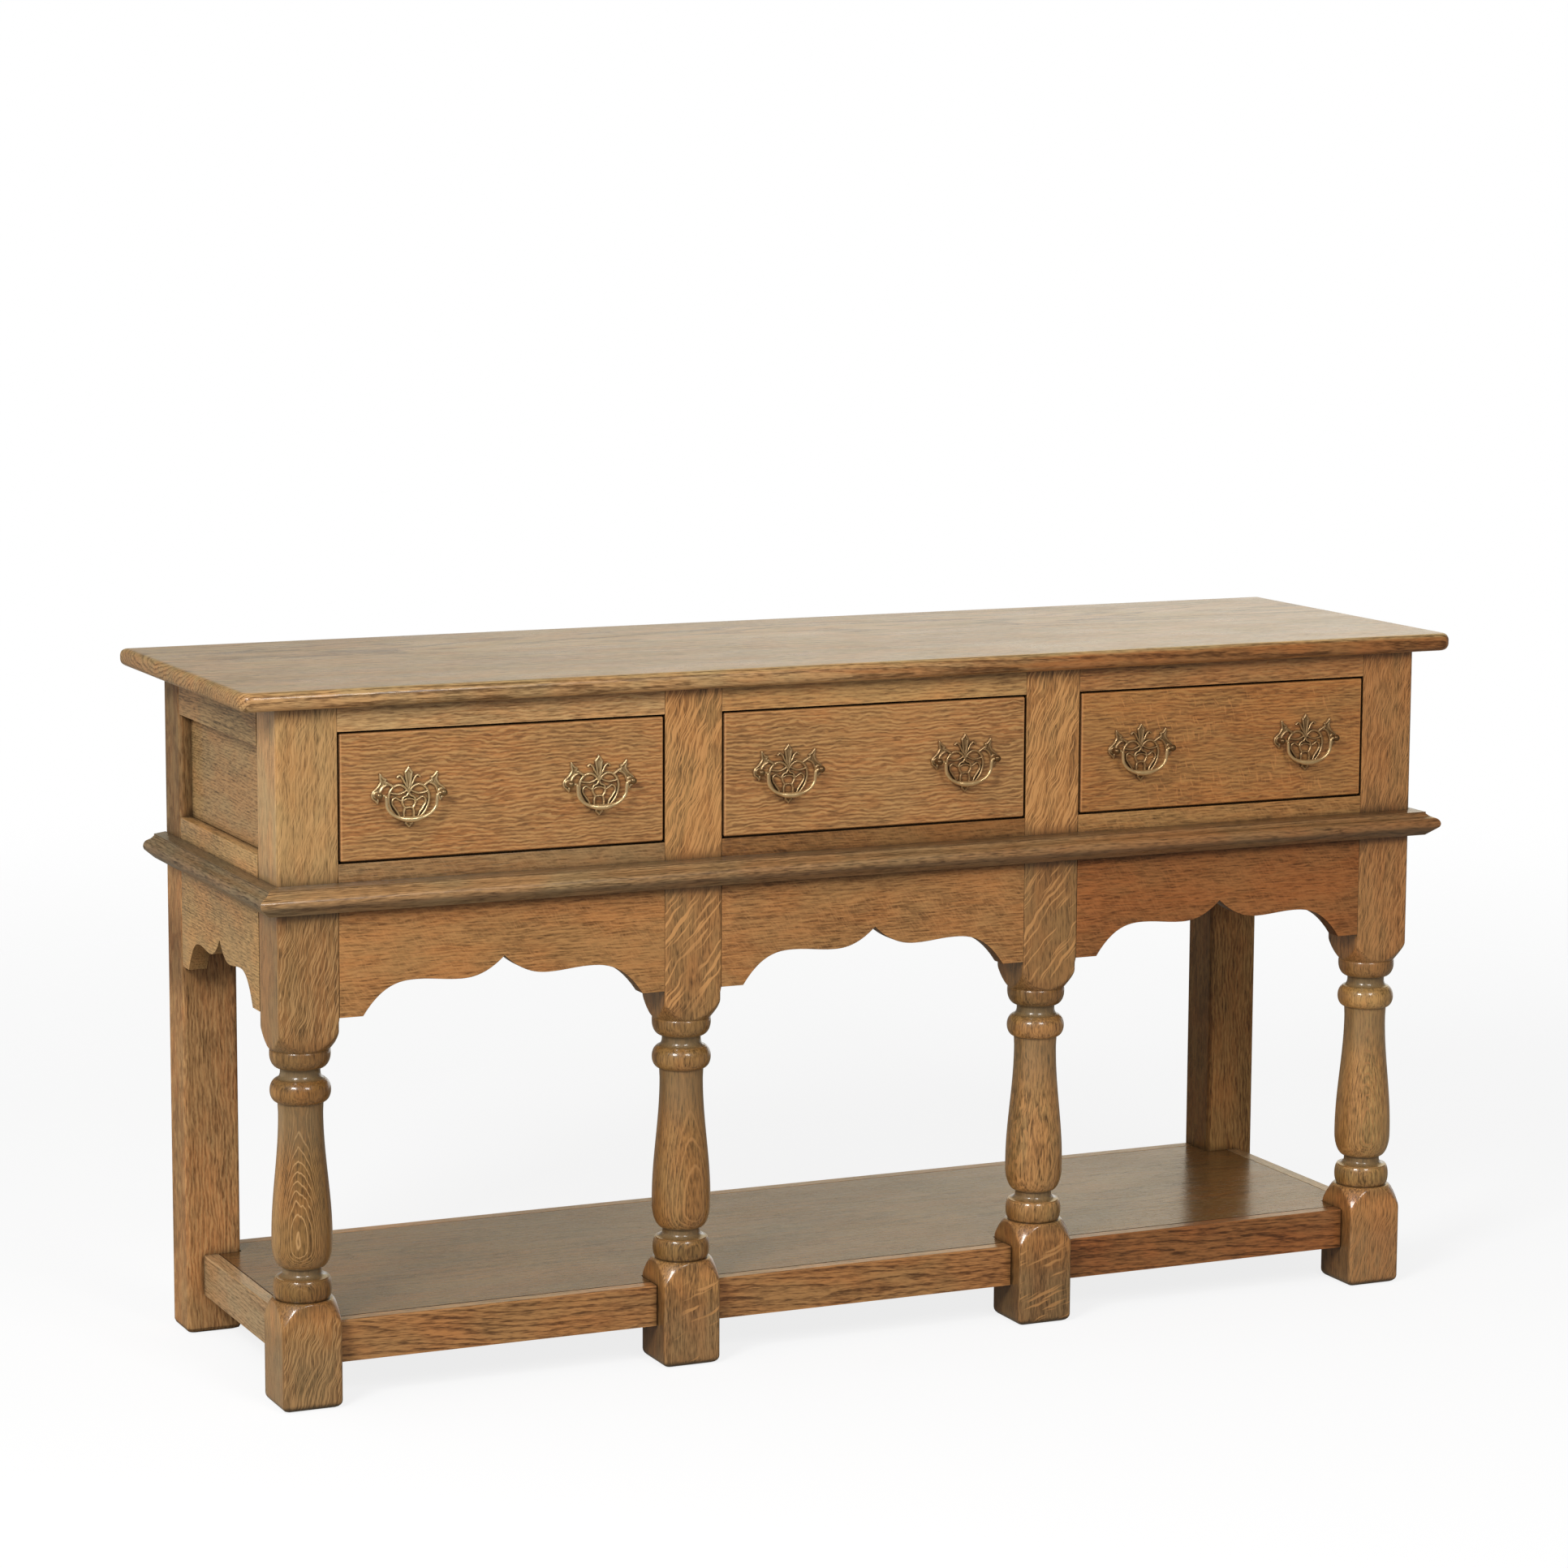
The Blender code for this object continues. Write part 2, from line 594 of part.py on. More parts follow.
def bail_mesh():
    """A drop bail about its pivot line: ends turned outwards into the posts, thickest where it is held."""
    reach = POST_HALF - 0.0009
    limb = POST_HALF - KNOB - 0.0030
    path = [(-reach, 0.0), (-limb - 0.0022, 0.0)]
    path += arc((-limb - 0.0015, -0.0030), (0.0030, 0.0030), 80, 10, 2)
    low = arc((0.0, -0.0100), (limb - 0.0012, BAIL_DROP - 0.0100), 180, 270, 5)
    path += low
    path += [(-across, up) for across, up in reversed(path[:-1])]
    curve = bpy.data.curves.new("bail", "CURVE")
    curve.dimensions = "3D"
    curve.bevel_depth = WIRE
    curve.bevel_resolution = 2
    curve.use_fill_caps = True
    spline = curve.splines.new("POLY")
    spline.points.add(len(path) - 1)
    for point, (across, up) in zip(spline.points, path):
        point.co = (across, 0, up, 1)
        held = max(0.0, 1 - abs(across) / 0.014) if up < -0.015 else 0.0
        point.radius = PIVOT / WIRE if up == 0.0 else 1.0 + 0.55 * held
    return mesh_of(bpy.data.objects.new("bail", curve))


def handle(name, across, base, brass):
    piece(name + "_plate", plate_mesh(), brass, (across, 0, HANDLE_UP), parent=base)
    made = piece(name + "_bail", bail_mesh(), brass, (across, -POST_OUT, HANDLE_UP), parent=base)
    for face in made.data.polygons:
        face.use_smooth = True


def smooth_round_pieces():
    """Turned and rounded pieces shade smooth, with their sharp arrises kept."""
    for obj in PARTS.objects:
        if obj.type == "MESH" and obj.name.startswith(("front_leg", "back_leg", "top_board", "waist")):
            obj.data.polygons.foreach_set("use_smooth", [True] * len(obj.data.polygons))
            obj.data.set_sharp_from_angle(angle=math.radians(35))


clear_scene()
PARTS = bpy.data.collections.new("dresser_base")
CUTTERS = bpy.data.collections.new("cutters")
bpy.context.scene.collection.children.link(PARTS)
bpy.context.scene.collection.children.link(CUTTERS)

OAK = material("oak", (0.27, 0.135, 0.055), 0.35, 0.0)
INSIDE = material("oak_inside", (0.42, 0.27, 0.14), 0.6, 0.0)
BRASS = material("brass", (0.62, 0.48, 0.24), 0.35, 1.0)

top_board(OAK)
legs(OAK)
top_rails(OAK)
aprons(OAK)
sides(OAK)
waist_moulding(OAK)
back(INSIDE)
stretchers(OAK)
potboard(OAK)
runners(INSIDE)
for drawer_number in (1, 2, 3):
    drawer(drawer_number, OAK, INSIDE, BRASS)
smooth_round_pieces()
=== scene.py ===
"""The dresser base dressed for its picture: turned oak, pierced brass, a pale floor, the photograph's view.

Metres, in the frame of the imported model: +X along the length, +Y to the back, +Z up. Finer pieces stand for
the turned, shaped and cast solids. The plain boards keep their solids, with eased edges and their own grain.
"""

import json
import math
from types import SimpleNamespace

import bmesh
import bpy
import numpy as np
from mathutils import Matrix, Vector


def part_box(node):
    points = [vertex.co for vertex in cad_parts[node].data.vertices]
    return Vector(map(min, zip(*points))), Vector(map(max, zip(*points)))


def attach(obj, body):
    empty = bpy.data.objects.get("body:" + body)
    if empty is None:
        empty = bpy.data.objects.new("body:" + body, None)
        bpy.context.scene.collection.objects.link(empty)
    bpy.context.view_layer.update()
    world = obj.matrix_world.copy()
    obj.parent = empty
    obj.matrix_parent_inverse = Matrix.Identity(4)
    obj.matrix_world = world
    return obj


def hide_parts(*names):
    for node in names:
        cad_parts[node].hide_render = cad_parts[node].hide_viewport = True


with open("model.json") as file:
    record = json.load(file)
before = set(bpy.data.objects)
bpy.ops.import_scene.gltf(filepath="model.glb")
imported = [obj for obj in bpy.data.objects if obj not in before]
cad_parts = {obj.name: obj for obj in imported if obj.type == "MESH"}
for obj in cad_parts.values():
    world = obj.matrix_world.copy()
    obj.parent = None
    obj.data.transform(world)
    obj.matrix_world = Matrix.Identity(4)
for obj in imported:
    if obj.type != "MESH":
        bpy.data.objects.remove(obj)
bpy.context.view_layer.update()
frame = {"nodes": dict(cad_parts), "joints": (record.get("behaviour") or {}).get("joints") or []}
NODES = frame["nodes"]

# Sizes read from the frame
LEG_LOW, LEG_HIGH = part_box("front_leg_1")
LEG = LEG_HIGH.x - LEG_LOW.x
APRON_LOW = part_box("apron_1")[0].z
DRAWER_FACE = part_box("drawer_1_front")[0].y
PIVOTS = {joint["child"]: Vector(joint["pos_m"]) for joint in frame["joints"] if joint["type"] == "hinge"}
GAP = 0.0003


# Meshes
def shade(mesh, angle):
    """Smooth shading, with edges sharper than an angle in degrees kept."""
    mesh.polygons.foreach_set("use_smooth", [True] * len(mesh.polygons))
    mesh.set_sharp_from_angle(angle=math.radians(angle))
    return mesh


def welded(mesh, reach):
    """The mesh with points nearer than a reach made one and its faces turned outwards."""
    shape = bmesh.new()
    shape.from_mesh(mesh)
    bmesh.ops.remove_doubles(shape, verts=shape.verts[:], dist=reach)
    bmesh.ops.recalc_face_normals(shape, faces=shape.faces[:])
    shape.to_mesh(mesh)
    shape.free()
    return mesh


def mesh_from(points, faces, angle=35, reach=1e-7):
    mesh = bpy.data.meshes.new("mesh")
    mesh.from_pydata([tuple(point) for point in points], [], faces)
    return shade(welded(mesh, reach), angle)


def loft(rings, angle=35):
    """A closed solid through rings of points, capped at both ends."""
    count = len(rings[0])
    points = [point for ring in rings for point in ring]
    faces = []
    for row in range(len(rings) - 1):
        start, above = row * count, (row + 1) * count
        for k in range(count):
            after = (k + 1) % count
            faces.append((start + k, start + after, above + after, above + k))
    faces.append(tuple(range(count - 1, -1, -1)))
    faces.append(tuple(range((len(rings) - 1) * count, len(rings) * count)))
    return mesh_from(points, faces, angle)


def joined(meshes):
    shape = bmesh.new()
    for mesh in meshes:
        shape.from_mesh(mesh)
    whole = bpy.data.meshes.new("mesh")
    shape.to_mesh(whole)
    shape.free()
    return whole


def arc(centre, radii, start, end, steps):
    """Points on an ellipse from one angle to another, in degrees."""
    angles = np.radians(np.linspace(start, end, steps + 1))
    return [(centre[0] + radii[0] * math.cos(a), centre[1] + radii[1] * math.sin(a)) for a in angles]


def curve_through(points, steps):
    """A smooth line through control points, which keeps its end points."""
    line = []
    padded = [points[0], *points, points[-1]]
    for a, b, c, d in zip(padded, padded[1:], padded[2:], padded[3:]):
        a, b, c, d = (np.array(p, float) for p in (a, b, c, d))
        for t in np.arange(steps) / steps:
            line.append(tuple(0.5 * (2 * b + (c - a) * t + (2 * a - 5 * b + 4 * c - d) * t * t
                                     + (3 * b - a - 3 * c + d) * t ** 3)))
    line.append(tuple(points[-1]))
    return line


def placed(name, data):
    """A new object in the scene."""
    made = bpy.data.objects.new(name, data)
    bpy.context.scene.collection.objects.link(made)
    return made


def outline_solid(outline, thickness, easing):
    """A flat outline in local XY with eased edges, thickened evenly about local Z."""
    curve = bpy.data.curves.new("outline", "CURVE")
    curve.dimensions = "2D"
    curve.fill_mode = "BOTH"
    curve.extrude = thickness / 2 - easing
    curve.bevel_depth = easing
    curve.bevel_resolution = 2
    curve.offset = -easing
    spline = curve.splines.new("POLY")
    spline.points.add(len(outline) - 1)
    for point, (across, up) in zip(spline.points, outline):
        point.co = (across, up, 0, 1)
    spline.use_cyclic_u = True
    source = placed("outline", curve)
    bpy.context.view_layer.update()
    mesh = bpy.data.meshes.new_from_object(source.evaluated_get(bpy.context.evaluated_depsgraph_get()))
    bpy.data.objects.remove(source, do_unlink=True)
    return welded(mesh, 1e-6)


def piece(name, mesh, material, body, slot, *nodes):
    """A piece of the visible model that rides on a body and stands for CAD nodes."""
    mesh.name = name
    mesh.materials.clear()
    for one in material if isinstance(material, (list, tuple)) else [material]:
        mesh.materials.append(one)
    made = placed(name, mesh)
    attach(made, body)
    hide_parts(*nodes)
    return made


# Node trees
def feed(tree, socket, value):
    if isinstance(value, bpy.types.NodeSocket):
        tree.links.new(value, socket)
    else:
        socket.default_value = value


def add(tree, kind, *values, out=0, **settings):
    """A node with its inputs given in order and its settings by name; returns one of its outputs."""
    made = tree.nodes.new("ShaderNode" + kind)
    for key, value in settings.items():
        setattr(made, key, value)
    for socket, value in zip(made.inputs, values):
        if value is not None:
            feed(tree, socket, value)
    return made.outputs[out]


def calc(tree, operation, *values, clamp=False):
    return add(tree, "Math", *values, operation=operation, use_clamp=clamp)


def product(tree, one, two):
    return calc(tree, "MULTIPLY", one, two)


def scaled(tree, value, by, plus):
    return calc(tree, "MULTIPLY_ADD", value, by, plus)


def apart(tree, one, two):
    """How far apart two values are."""
    return calc(tree, "ABSOLUTE", calc(tree, "SUBTRACT", one, two))


def hypotenuse(tree, x, y):
    return calc(tree, "SQRT", scaled(tree, x, x, product(tree, y, y)))


def split(tree, vector):
    """The three parts of a vector."""
    made = tree.nodes.new("ShaderNodeSeparateXYZ")
    feed(tree, made.inputs[0], vector)
    return made.outputs


def looking(tree, axis):
    """How far the surface looks along an axis, -1 to 1."""
    return split(tree, add(tree, "NewGeometry", out=1))[axis]


def bumped(tree, shader, height, strength, distance):
    """Fine relief on a material."""
    bump = tree.nodes.new("ShaderNodeBump")
    for name, value in (("Strength", strength), ("Distance", distance), ("Height", height)):
        feed(tree, bump.inputs[name], value)
    feed(tree, shader.inputs["Normal"], bump.outputs[0])


def step(tree, value, low, high):
    """0 below low, 1 above high and smooth between."""
    made = tree.nodes.new("ShaderNodeMapRange")
    made.interpolation_type = "SMOOTHSTEP"
    for name, given in (("Value", value), ("From Min", low), ("From Max", high)):
        feed(tree, made.inputs[name], given)
    return made.outputs["Result"]


def mix(tree, share, one, two):
    """One colour turning into another."""
    made = tree.nodes.new("ShaderNodeMix")
    made.data_type = "RGBA"
    for socket, value in ((made.inputs[0], share), (made.inputs[6], one), (made.inputs[7], two)):
        feed(tree, socket, value)
    return made.outputs[2]


def noise(tree, place, size, detail, rough=0.55, distortion=0.0):
    """Noise whose grain measures size along each axis, in metres."""
    stretched = add(tree, "VectorMath", place, tuple(1 / s for s in size), operation="MULTIPLY")
    made = tree.nodes.new("ShaderNodeTexNoise")
    feed(tree, made.inputs["Vector"], stretched)
    for name, value in (("Scale", 1.0), ("Detail", detail), ("Roughness", rough), ("Distortion", distortion)):
        made.inputs[name].default_value = value
    return made.outputs["Fac"]


def colour(red, green, blue):
    """A colour written as on a screen, 0 to 255, in linear light."""
    linear = [((c / 255 + 0.055) / 1.055) ** 2.4 for c in (red, green, blue)]
    return (*linear, 1.0)


def new_material(name):
    made = bpy.data.materials.new(name)
    made.use_nodes = True
    return made, made.node_tree, made.node_tree.nodes["Principled BSDF"]


# Oak
GRAIN_ORDER = {"X": (2, 1, 0), "Y": (2, 0, 1), "Z": (0, 1, 2)}


def slanted(tree, place, angle):
    """Grain coordinates turned by an angle in degrees in the plane of the board."""
    return add(tree, "VectorRotate", place, (0, 0, 0), (0, 1, 0), math.radians(angle),
               rotation_type="AXIS_ANGLE")


def grain_place(tree, along, centre, tilt):
    """Coordinates about a board's middle with the grain on the third axis, tilted a little in degrees."""
    place = add(tree, "VectorMath", add(tree, "TexCoord", out=3), tuple(centre), operation="SUBTRACT")
    parts = split(tree, place)
    return slanted(tree, add(tree, "CombineXYZ", *[parts[k] for k in GRAIN_ORDER[along]]), tilt)


def seeded_place(tree, place, seed):
    """Coordinates moved so that no two boards share their figure."""
    return add(tree, "VectorMath", place, (seed * 0.0731, seed * 0.0417, seed * 0.1193), operation="ADD")


def centred(tree, value, amount):
    """A noise value turned into a push either way."""
    return product(tree, calc(tree, "SUBTRACT", value, 0.5), amount)


def growth_rings(tree, place, seeded, pith, spacing, wander):
    """Where in its year the wood grew, 0 to 1, in rings round a pith line beside the board."""
    drift = centred(tree, noise(tree, seeded, (0.060, 0.060, 0.40), 2.0), wander)
    ripple = centred(tree, noise(tree, seeded, (0.006, 0.006, 0.035), 2.0), wander * 0.12)
    parts = split(tree, place)
    across, deep = (calc(tree, "SUBTRACT", parts[k], pith[k]) for k in (0, 1))
    reach = calc(tree, "ADD", hypotenuse(tree, across, deep), calc(tree, "ADD", drift, ripple))
    return calc(tree, "FRACT", calc(tree, "DIVIDE", reach, spacing))


def times(tint, share):
    """A colour made lighter or darker."""
    return tuple(min(1.0, c * share) for c in tint[:3]) + (1.0,)


def multiplied(tree, wood, share, tint):
    """A colour multiplied by a tint over part of a board."""
    if isinstance(tint, tuple):
        tint = (*tint, 1.0)
    return add(tree, "VectorMath", wood, mix(tree, share, (1, 1, 1, 1), tint), operation="MULTIPLY")


def between(tree, value, low, high, soft):
    """1 between two limits and 0 outside them, with soft edges."""
    return product(tree, step(tree, value, low, low + soft), step(tree, value, high, high - soft))


# Figures: each makes a function that draws on a board's colour
def ripple_lines(share, spacing=0.0050):
    """Dark and pale lines that waver along the grain and break off, as on boards sawn towards the heart."""
    def draw(tree, board, wood):
        sway = centred(tree, noise(tree, board.seeded, (0.030, 0.030, 0.080), 2.0), 0.020)
        jitter = centred(tree, noise(tree, board.seeded, (0.010, 0.010, 0.016), 2.0), 0.0075)
        across = calc(tree, "ADD", split(tree, board.seeded)[0], calc(tree, "ADD", sway, jitter))
        year = calc(tree, "FRACT", calc(tree, "DIVIDE", across, spacing))
        kept = step(tree, noise(tree, board.seeded, (0.005, 0.005, 0.030), 2.0), 0.30, 0.58)
        kept = product(tree, kept, share)
        trough = tuple(0.72 * dark + 0.28 * light for dark, light in zip(board.dark, board.light))
        wood = mix(tree, product(tree, between(tree, year, 0.04, 0.40, 0.12), kept), wood, trough)
        pale = product(tree, between(tree, year, 0.44, 0.98, 0.18), kept)
        return mix(tree, pale, wood, tuple(c * lift for c, lift in zip(board.light, (1.22, 1.44, 1.48, 1.0))))
    return draw


def rays(share, angle, size, few=0.54, bare=0.22, bright=1.12, zone=None, face=None):
    """Pale flecks where the saw ran along the medullary rays: thin bent ribbons at a slant, in degrees.

    They may be kept between two heights and to the faces square to one axis.
    """
    def draw(tree, board, wood):
        bend = centred(tree, noise(tree, board.seeded, (0.030, 0.030, 0.030), 1.0), 0.014)
        bend = add(tree, "CombineXYZ", bend, 0.0, 0.0)
        turned = add(tree, "VectorMath", slanted(tree, board.seeded, angle), bend, operation="ADD")
        ribbon = step(tree, noise(tree, turned, size, 1.0, 0.4), few, few + 0.09)
        patch = step(tree, noise(tree, board.seeded, (0.05, 0.05, 0.09), 1.0), bare, bare + 0.20)
        ribbon = product(tree, product(tree, ribbon, patch), share)
        if zone:
            ribbon = product(tree, ribbon, between(tree, board.spot[2], *zone, 0.015))
        if face is not None:
            turn = calc(tree, "ABSOLUTE", looking(tree, face))
            ribbon = product(tree, ribbon, step(tree, turn, 0.55, 0.90))
        return mix(tree, ribbon, wood, times(board.light, bright))
    return draw


def ring_loops(share):
    """Pale pointed loops where a turned swelling cuts across the year rings."""
    def draw(tree, board, wood):
        pale = product(tree, between(tree, board.year, 0.74, 0.98, 0.10), share)
        pale = product(tree, pale, between(tree, board.spot[2], *VASE_LEVEL, 0.03))
        return mix(tree, pale, wood, times(board.light, 1.05))
    return draw


def stain_and_shade_band(low, high, tint, soft=0.008):
    """A tint between two heights, coming in over a soft distance: a stain on some boards, painted shade on
    others.
    """
    def draw(tree, board, wood):
        return multiplied(tree, wood, between(tree, board.spot[2], low, high, soft), tint)
    return draw


def tinted_to_the_right(tint):
    """A tint that comes in from the left end of a board to its right."""
    def draw(tree, board, wood):
        return multiplied(tree, wood, step(tree, board.spot[0], -board.half[0], board.half[0]), tint)
    return draw


def wax_film(share, narrow=0.0235, wide=0.0290):
    """A grey-green film of old wax in the narrow parts of a turning."""
    def draw(tree, board, wood):
        radius = hypotenuse(tree, *split(tree, board.place)[:2])
        return mix(tree, product(tree, step(tree, radius, wide, narrow), share), wood, WAX)
    return draw


def gap_shade_and_rim(width, axes, rim_wear_and_highlight=0.0):
    """A dark line along the edges of a board in a frame, painted shade of the gap round it, and inside it a
    pale rim of wear and painted highlight, in the two axes of its face.
    """
    def draw(tree, board, wood):
        line = 0.0
        rim = 0.0
        for axis in axes:
            off = apart(tree, board.spot[axis], board.middle[axis])
            edge = board.half[axis]
            line = calc(tree, "MAXIMUM", step(tree, off, edge - width, edge), line)
            rim = calc(tree, "MAXIMUM", step(tree, off, edge - 2.6 * width, edge - 1.4 * width), rim)
        turn = calc(tree, "ABSOLUTE", looking(tree, 3 - sum(axes)))
        faced = step(tree, turn, 0.30, 0.60)
        wood = mix(tree, product(tree, rim, rim_wear_and_highlight), wood, times(board.light, 1.25))
        return mix(tree, product(tree, line, faced), wood, GAP_SHADE)
    return draw


def painted_light_by_facing(axis, tint, least=0.15, most=0.55):
    """A tint on the faces that look to the low side of an axis: painted light where it lightens them, painted
    shade where it darkens them.
    """
    def draw(tree, board, wood):
        return multiplied(tree, wood, step(tree, looking(tree, axis), -least, -most), tint)
    return draw


def edge_wear(tree, radius):
    """1 on the rounded edges and 0 on the flats, from how far the surface turns within a radius."""
    smooth = tree.nodes.new("ShaderNodeBevel")
    smooth.samples = 4
    smooth.inputs["Radius"].default_value = radius
    plain = add(tree, "NewGeometry", out=1)
    cosine = add(tree, "VectorMath", smooth.outputs[0], plain, operation="DOT_PRODUCT", out=1)
    return step(tree, cosine, 0.985, 0.80)


def crevice_dirt_and_shade(tree, distance):
    """1 in the corners and gaps, 0 in the open: where wax and dirt gather and where shade falls, so what it
    darkens is dirt and painted shade.
    """
    shut = tree.nodes.new("ShaderNodeAmbientOcclusion")
    shut.samples = 6
    shut.inputs["Distance"].default_value = distance
    return step(tree, shut.outputs["AO"], 0.86, 0.30)


# Colour of the dirt and painted shade in corners and gaps.
DIRT_AND_SHADE = colour(60, 47, 30)
WAX = colour(120, 103, 74)
# Colour of the painted shade in the gaps round framed boards.
GAP_SHADE = colour(46, 26, 17)
LINE = colour(44, 31, 19)
TAILS = 3
TAIL_LONG = 0.014
OLIVE_CAST = (0.95, 1.01, 0.98, 1.0)
ORANGE_CAST = (1.06, 0.97, 0.86, 1.0)


def oak(name, node, along, seed, tone, figures=(), pith=(0.05, 0.08), spacing=0.0034, wander=0.03, tilt=0.0,
        lines=0.4, streaks=0.9, wear=0.40, specular=0.40, rough=0.30, coat=0.25):
    """Polished oak for one board: rings, pores, figures, uneven stain, worn edges with a painted highlight,
    dirt with painted shade in the corners and a wax shine.
    """
    made, tree, shader = new_material(name)
    low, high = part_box(node)
    board = SimpleNamespace(light=tone[0], dark=tone[1], middle=(low + high) / 2, half=(high - low) / 2)
    board.spot = split(tree, add(tree, "TexCoord", out=3))
    board.place = grain_place(tree, along, board.middle, tilt)
    board.seeded = seeded_place(tree, board.place, seed)
    board.year = growth_rings(tree, board.place, board.seeded, pith, spacing, wander)
    rings = product(tree, step(tree, board.year, 0.60, 0.0), step(tree, board.year, 0.0, 0.10))
    streak = noise(tree, board.seeded, (0.0045, 0.0045, 0.16), 4.0, 0.6)
    dashes = noise(tree, board.seeded, (0.0016, 0.0016, 0.014), 2.0)
    pores = step(tree, noise(tree, board.seeded, (0.0007, 0.0007, 0.011), 2.0, 0.6), 0.55, 0.68)
    pores = product(tree, pores, scaled(tree, rings, 0.65, 0.35))
    blotch = noise(tree, board.seeded, (0.09, 0.09, 0.22), 3.0)

    depth = product(tree, rings, lines)
    for part, amount in ((streak, streaks), (dashes, 2.4), (blotch, 0.9)):
        depth = calc(tree, "ADD", depth, centred(tree, part, amount))
    depth = scaled(tree, pores, 0.48, depth)
    wood = mix(tree, calc(tree, "ADD", depth, 0.23, clamp=True), board.light, board.dark)
    cast = step(tree, noise(tree, board.seeded, (0.035, 0.035, 0.090), 2.0), 0.35, 0.65)
    wood = multiplied(tree, wood, 1.0, mix(tree, cast, OLIVE_CAST, ORANGE_CAST))
    # Rounded edges made lighter: wear, with a painted highlight along them.
    wood = mix(tree, product(tree, edge_wear(tree, 0.0030), wear), wood, times(board.light, 1.12))
    for draw in figures:
        wood = draw(tree, board, wood)
    # Corners and gaps made darker: dirt, with painted shade where the light is shut out.
    wood = mix(tree, product(tree, crevice_dirt_and_shade(tree, 0.014), 0.85), wood, times(DIRT_AND_SHADE, 0.6))
    feed(tree, shader.inputs["Base Color"], wood)

    smear = noise(tree, board.seeded, (0.04, 0.04, 0.10), 4.0)
    gloss = calc(tree, "ADD", centred(tree, smear, 0.20), rough)
    feed(tree, shader.inputs["Roughness"], scaled(tree, pores, 0.12, gloss))
    shader.inputs["Specular IOR Level"].default_value = specular
    shader.inputs["Coat Weight"].default_value = coat
    shader.inputs["Coat Roughness"].default_value = 0.08
    relief = scaled(tree, pores, -0.6, product(tree, streak, 0.35))
    relief = scaled(tree, rings, -0.25, relief)
    bumped(tree, shader, relief, 0.30, 0.0006)
    return made


def board_joint(height):
    """A fine dark line where two boards meet at a height."""
    def draw(tree, spot, wood):
        off = apart(tree, spot[2], height)
        return mix(tree, step(tree, off, 0.0011, 0.0005), wood, LINE)
    return draw


def dovetails(low, high, front):
    """Pins of the polished front showing at the end of a drawer side between two heights."""
    def draw(tree, spot, wood):
        back = calc(tree, "SUBTRACT", spot[1], front)
        up = calc(tree, "SUBTRACT", spot[2], low)
        turn = calc(tree, "FRACT", calc(tree, "DIVIDE", up, (high - low) / TAILS))
        off = apart(tree, turn, 0.5)
        half = scaled(tree, back, 8.0, 0.22)
        within = between(tree, back, -0.001, TAIL_LONG, 0.0004)
        pin = product(tree, step(tree, calc(tree, "SUBTRACT", off, half), -0.005, 0.015), within)
        wood = mix(tree, pin, wood, colour(122, 86, 52))
        edge = apart(tree, off, half)
        line = product(tree, step(tree, edge, 0.022, 0.008), within)
        shoulder = step(tree, apart(tree, back, TAIL_LONG), 0.0007, 0.0003)
        return mix(tree, calc(tree, "MAXIMUM", line, shoulder), wood, LINE)
    return draw


def oak_inside(name, along, seed, figure=None):
    """Unpolished oak for linings, runners and the back: paler, dry and plainly figured."""
    made, tree, shader = new_material(name)
    place = grain_place(tree, along, (0, 0, 0), 0.0)
    seeded = seeded_place(tree, place, seed)
    rings = step(tree, growth_rings(tree, place, seeded, (0.35, 0.42), 0.0045, 0.03), 0.60, 0.0)
    streak = noise(tree, seeded, (0.005, 0.005, 0.2), 4.0, 0.6)
    pores = step(tree, noise(tree, seeded, (0.0008, 0.0008, 0.012), 2.0, 0.6), 0.55, 0.70)
    stain = noise(tree, seeded, (0.12, 0.12, 0.3), 3.0)
    depth = scaled(tree, rings, 0.35, product(tree, pores, 0.30))
    depth = calc(tree, "ADD", depth, centred(tree, streak, 0.7))
    depth = calc(tree, "ADD", depth, centred(tree, stain, 0.9))
    tone = calc(tree, "ADD", depth, 0.3, clamp=True)
    wood = mix(tree, tone, colour(186, 152, 108), colour(118, 84, 50))
    if figure:
        wood = figure(tree, split(tree, add(tree, "TexCoord", out=3)), wood)
    # Corners made darker: dirt and painted shade.
    wood = mix(tree, product(tree, crevice_dirt_and_shade(tree, 0.02), 0.6), wood, colour(52, 36, 22))
    feed(tree, shader.inputs["Base Color"], wood)
    feed(tree, shader.inputs["Roughness"], scaled(tree, streak, 0.25, 0.52))
    bumped(tree, shader, scaled(tree, pores, -0.7, streak), 0.4, 0.0006)
    return made


RIGHTWARD_DARKENING = -0.56, 0.10
POST_SHOWN = 0.0045, 0.0070


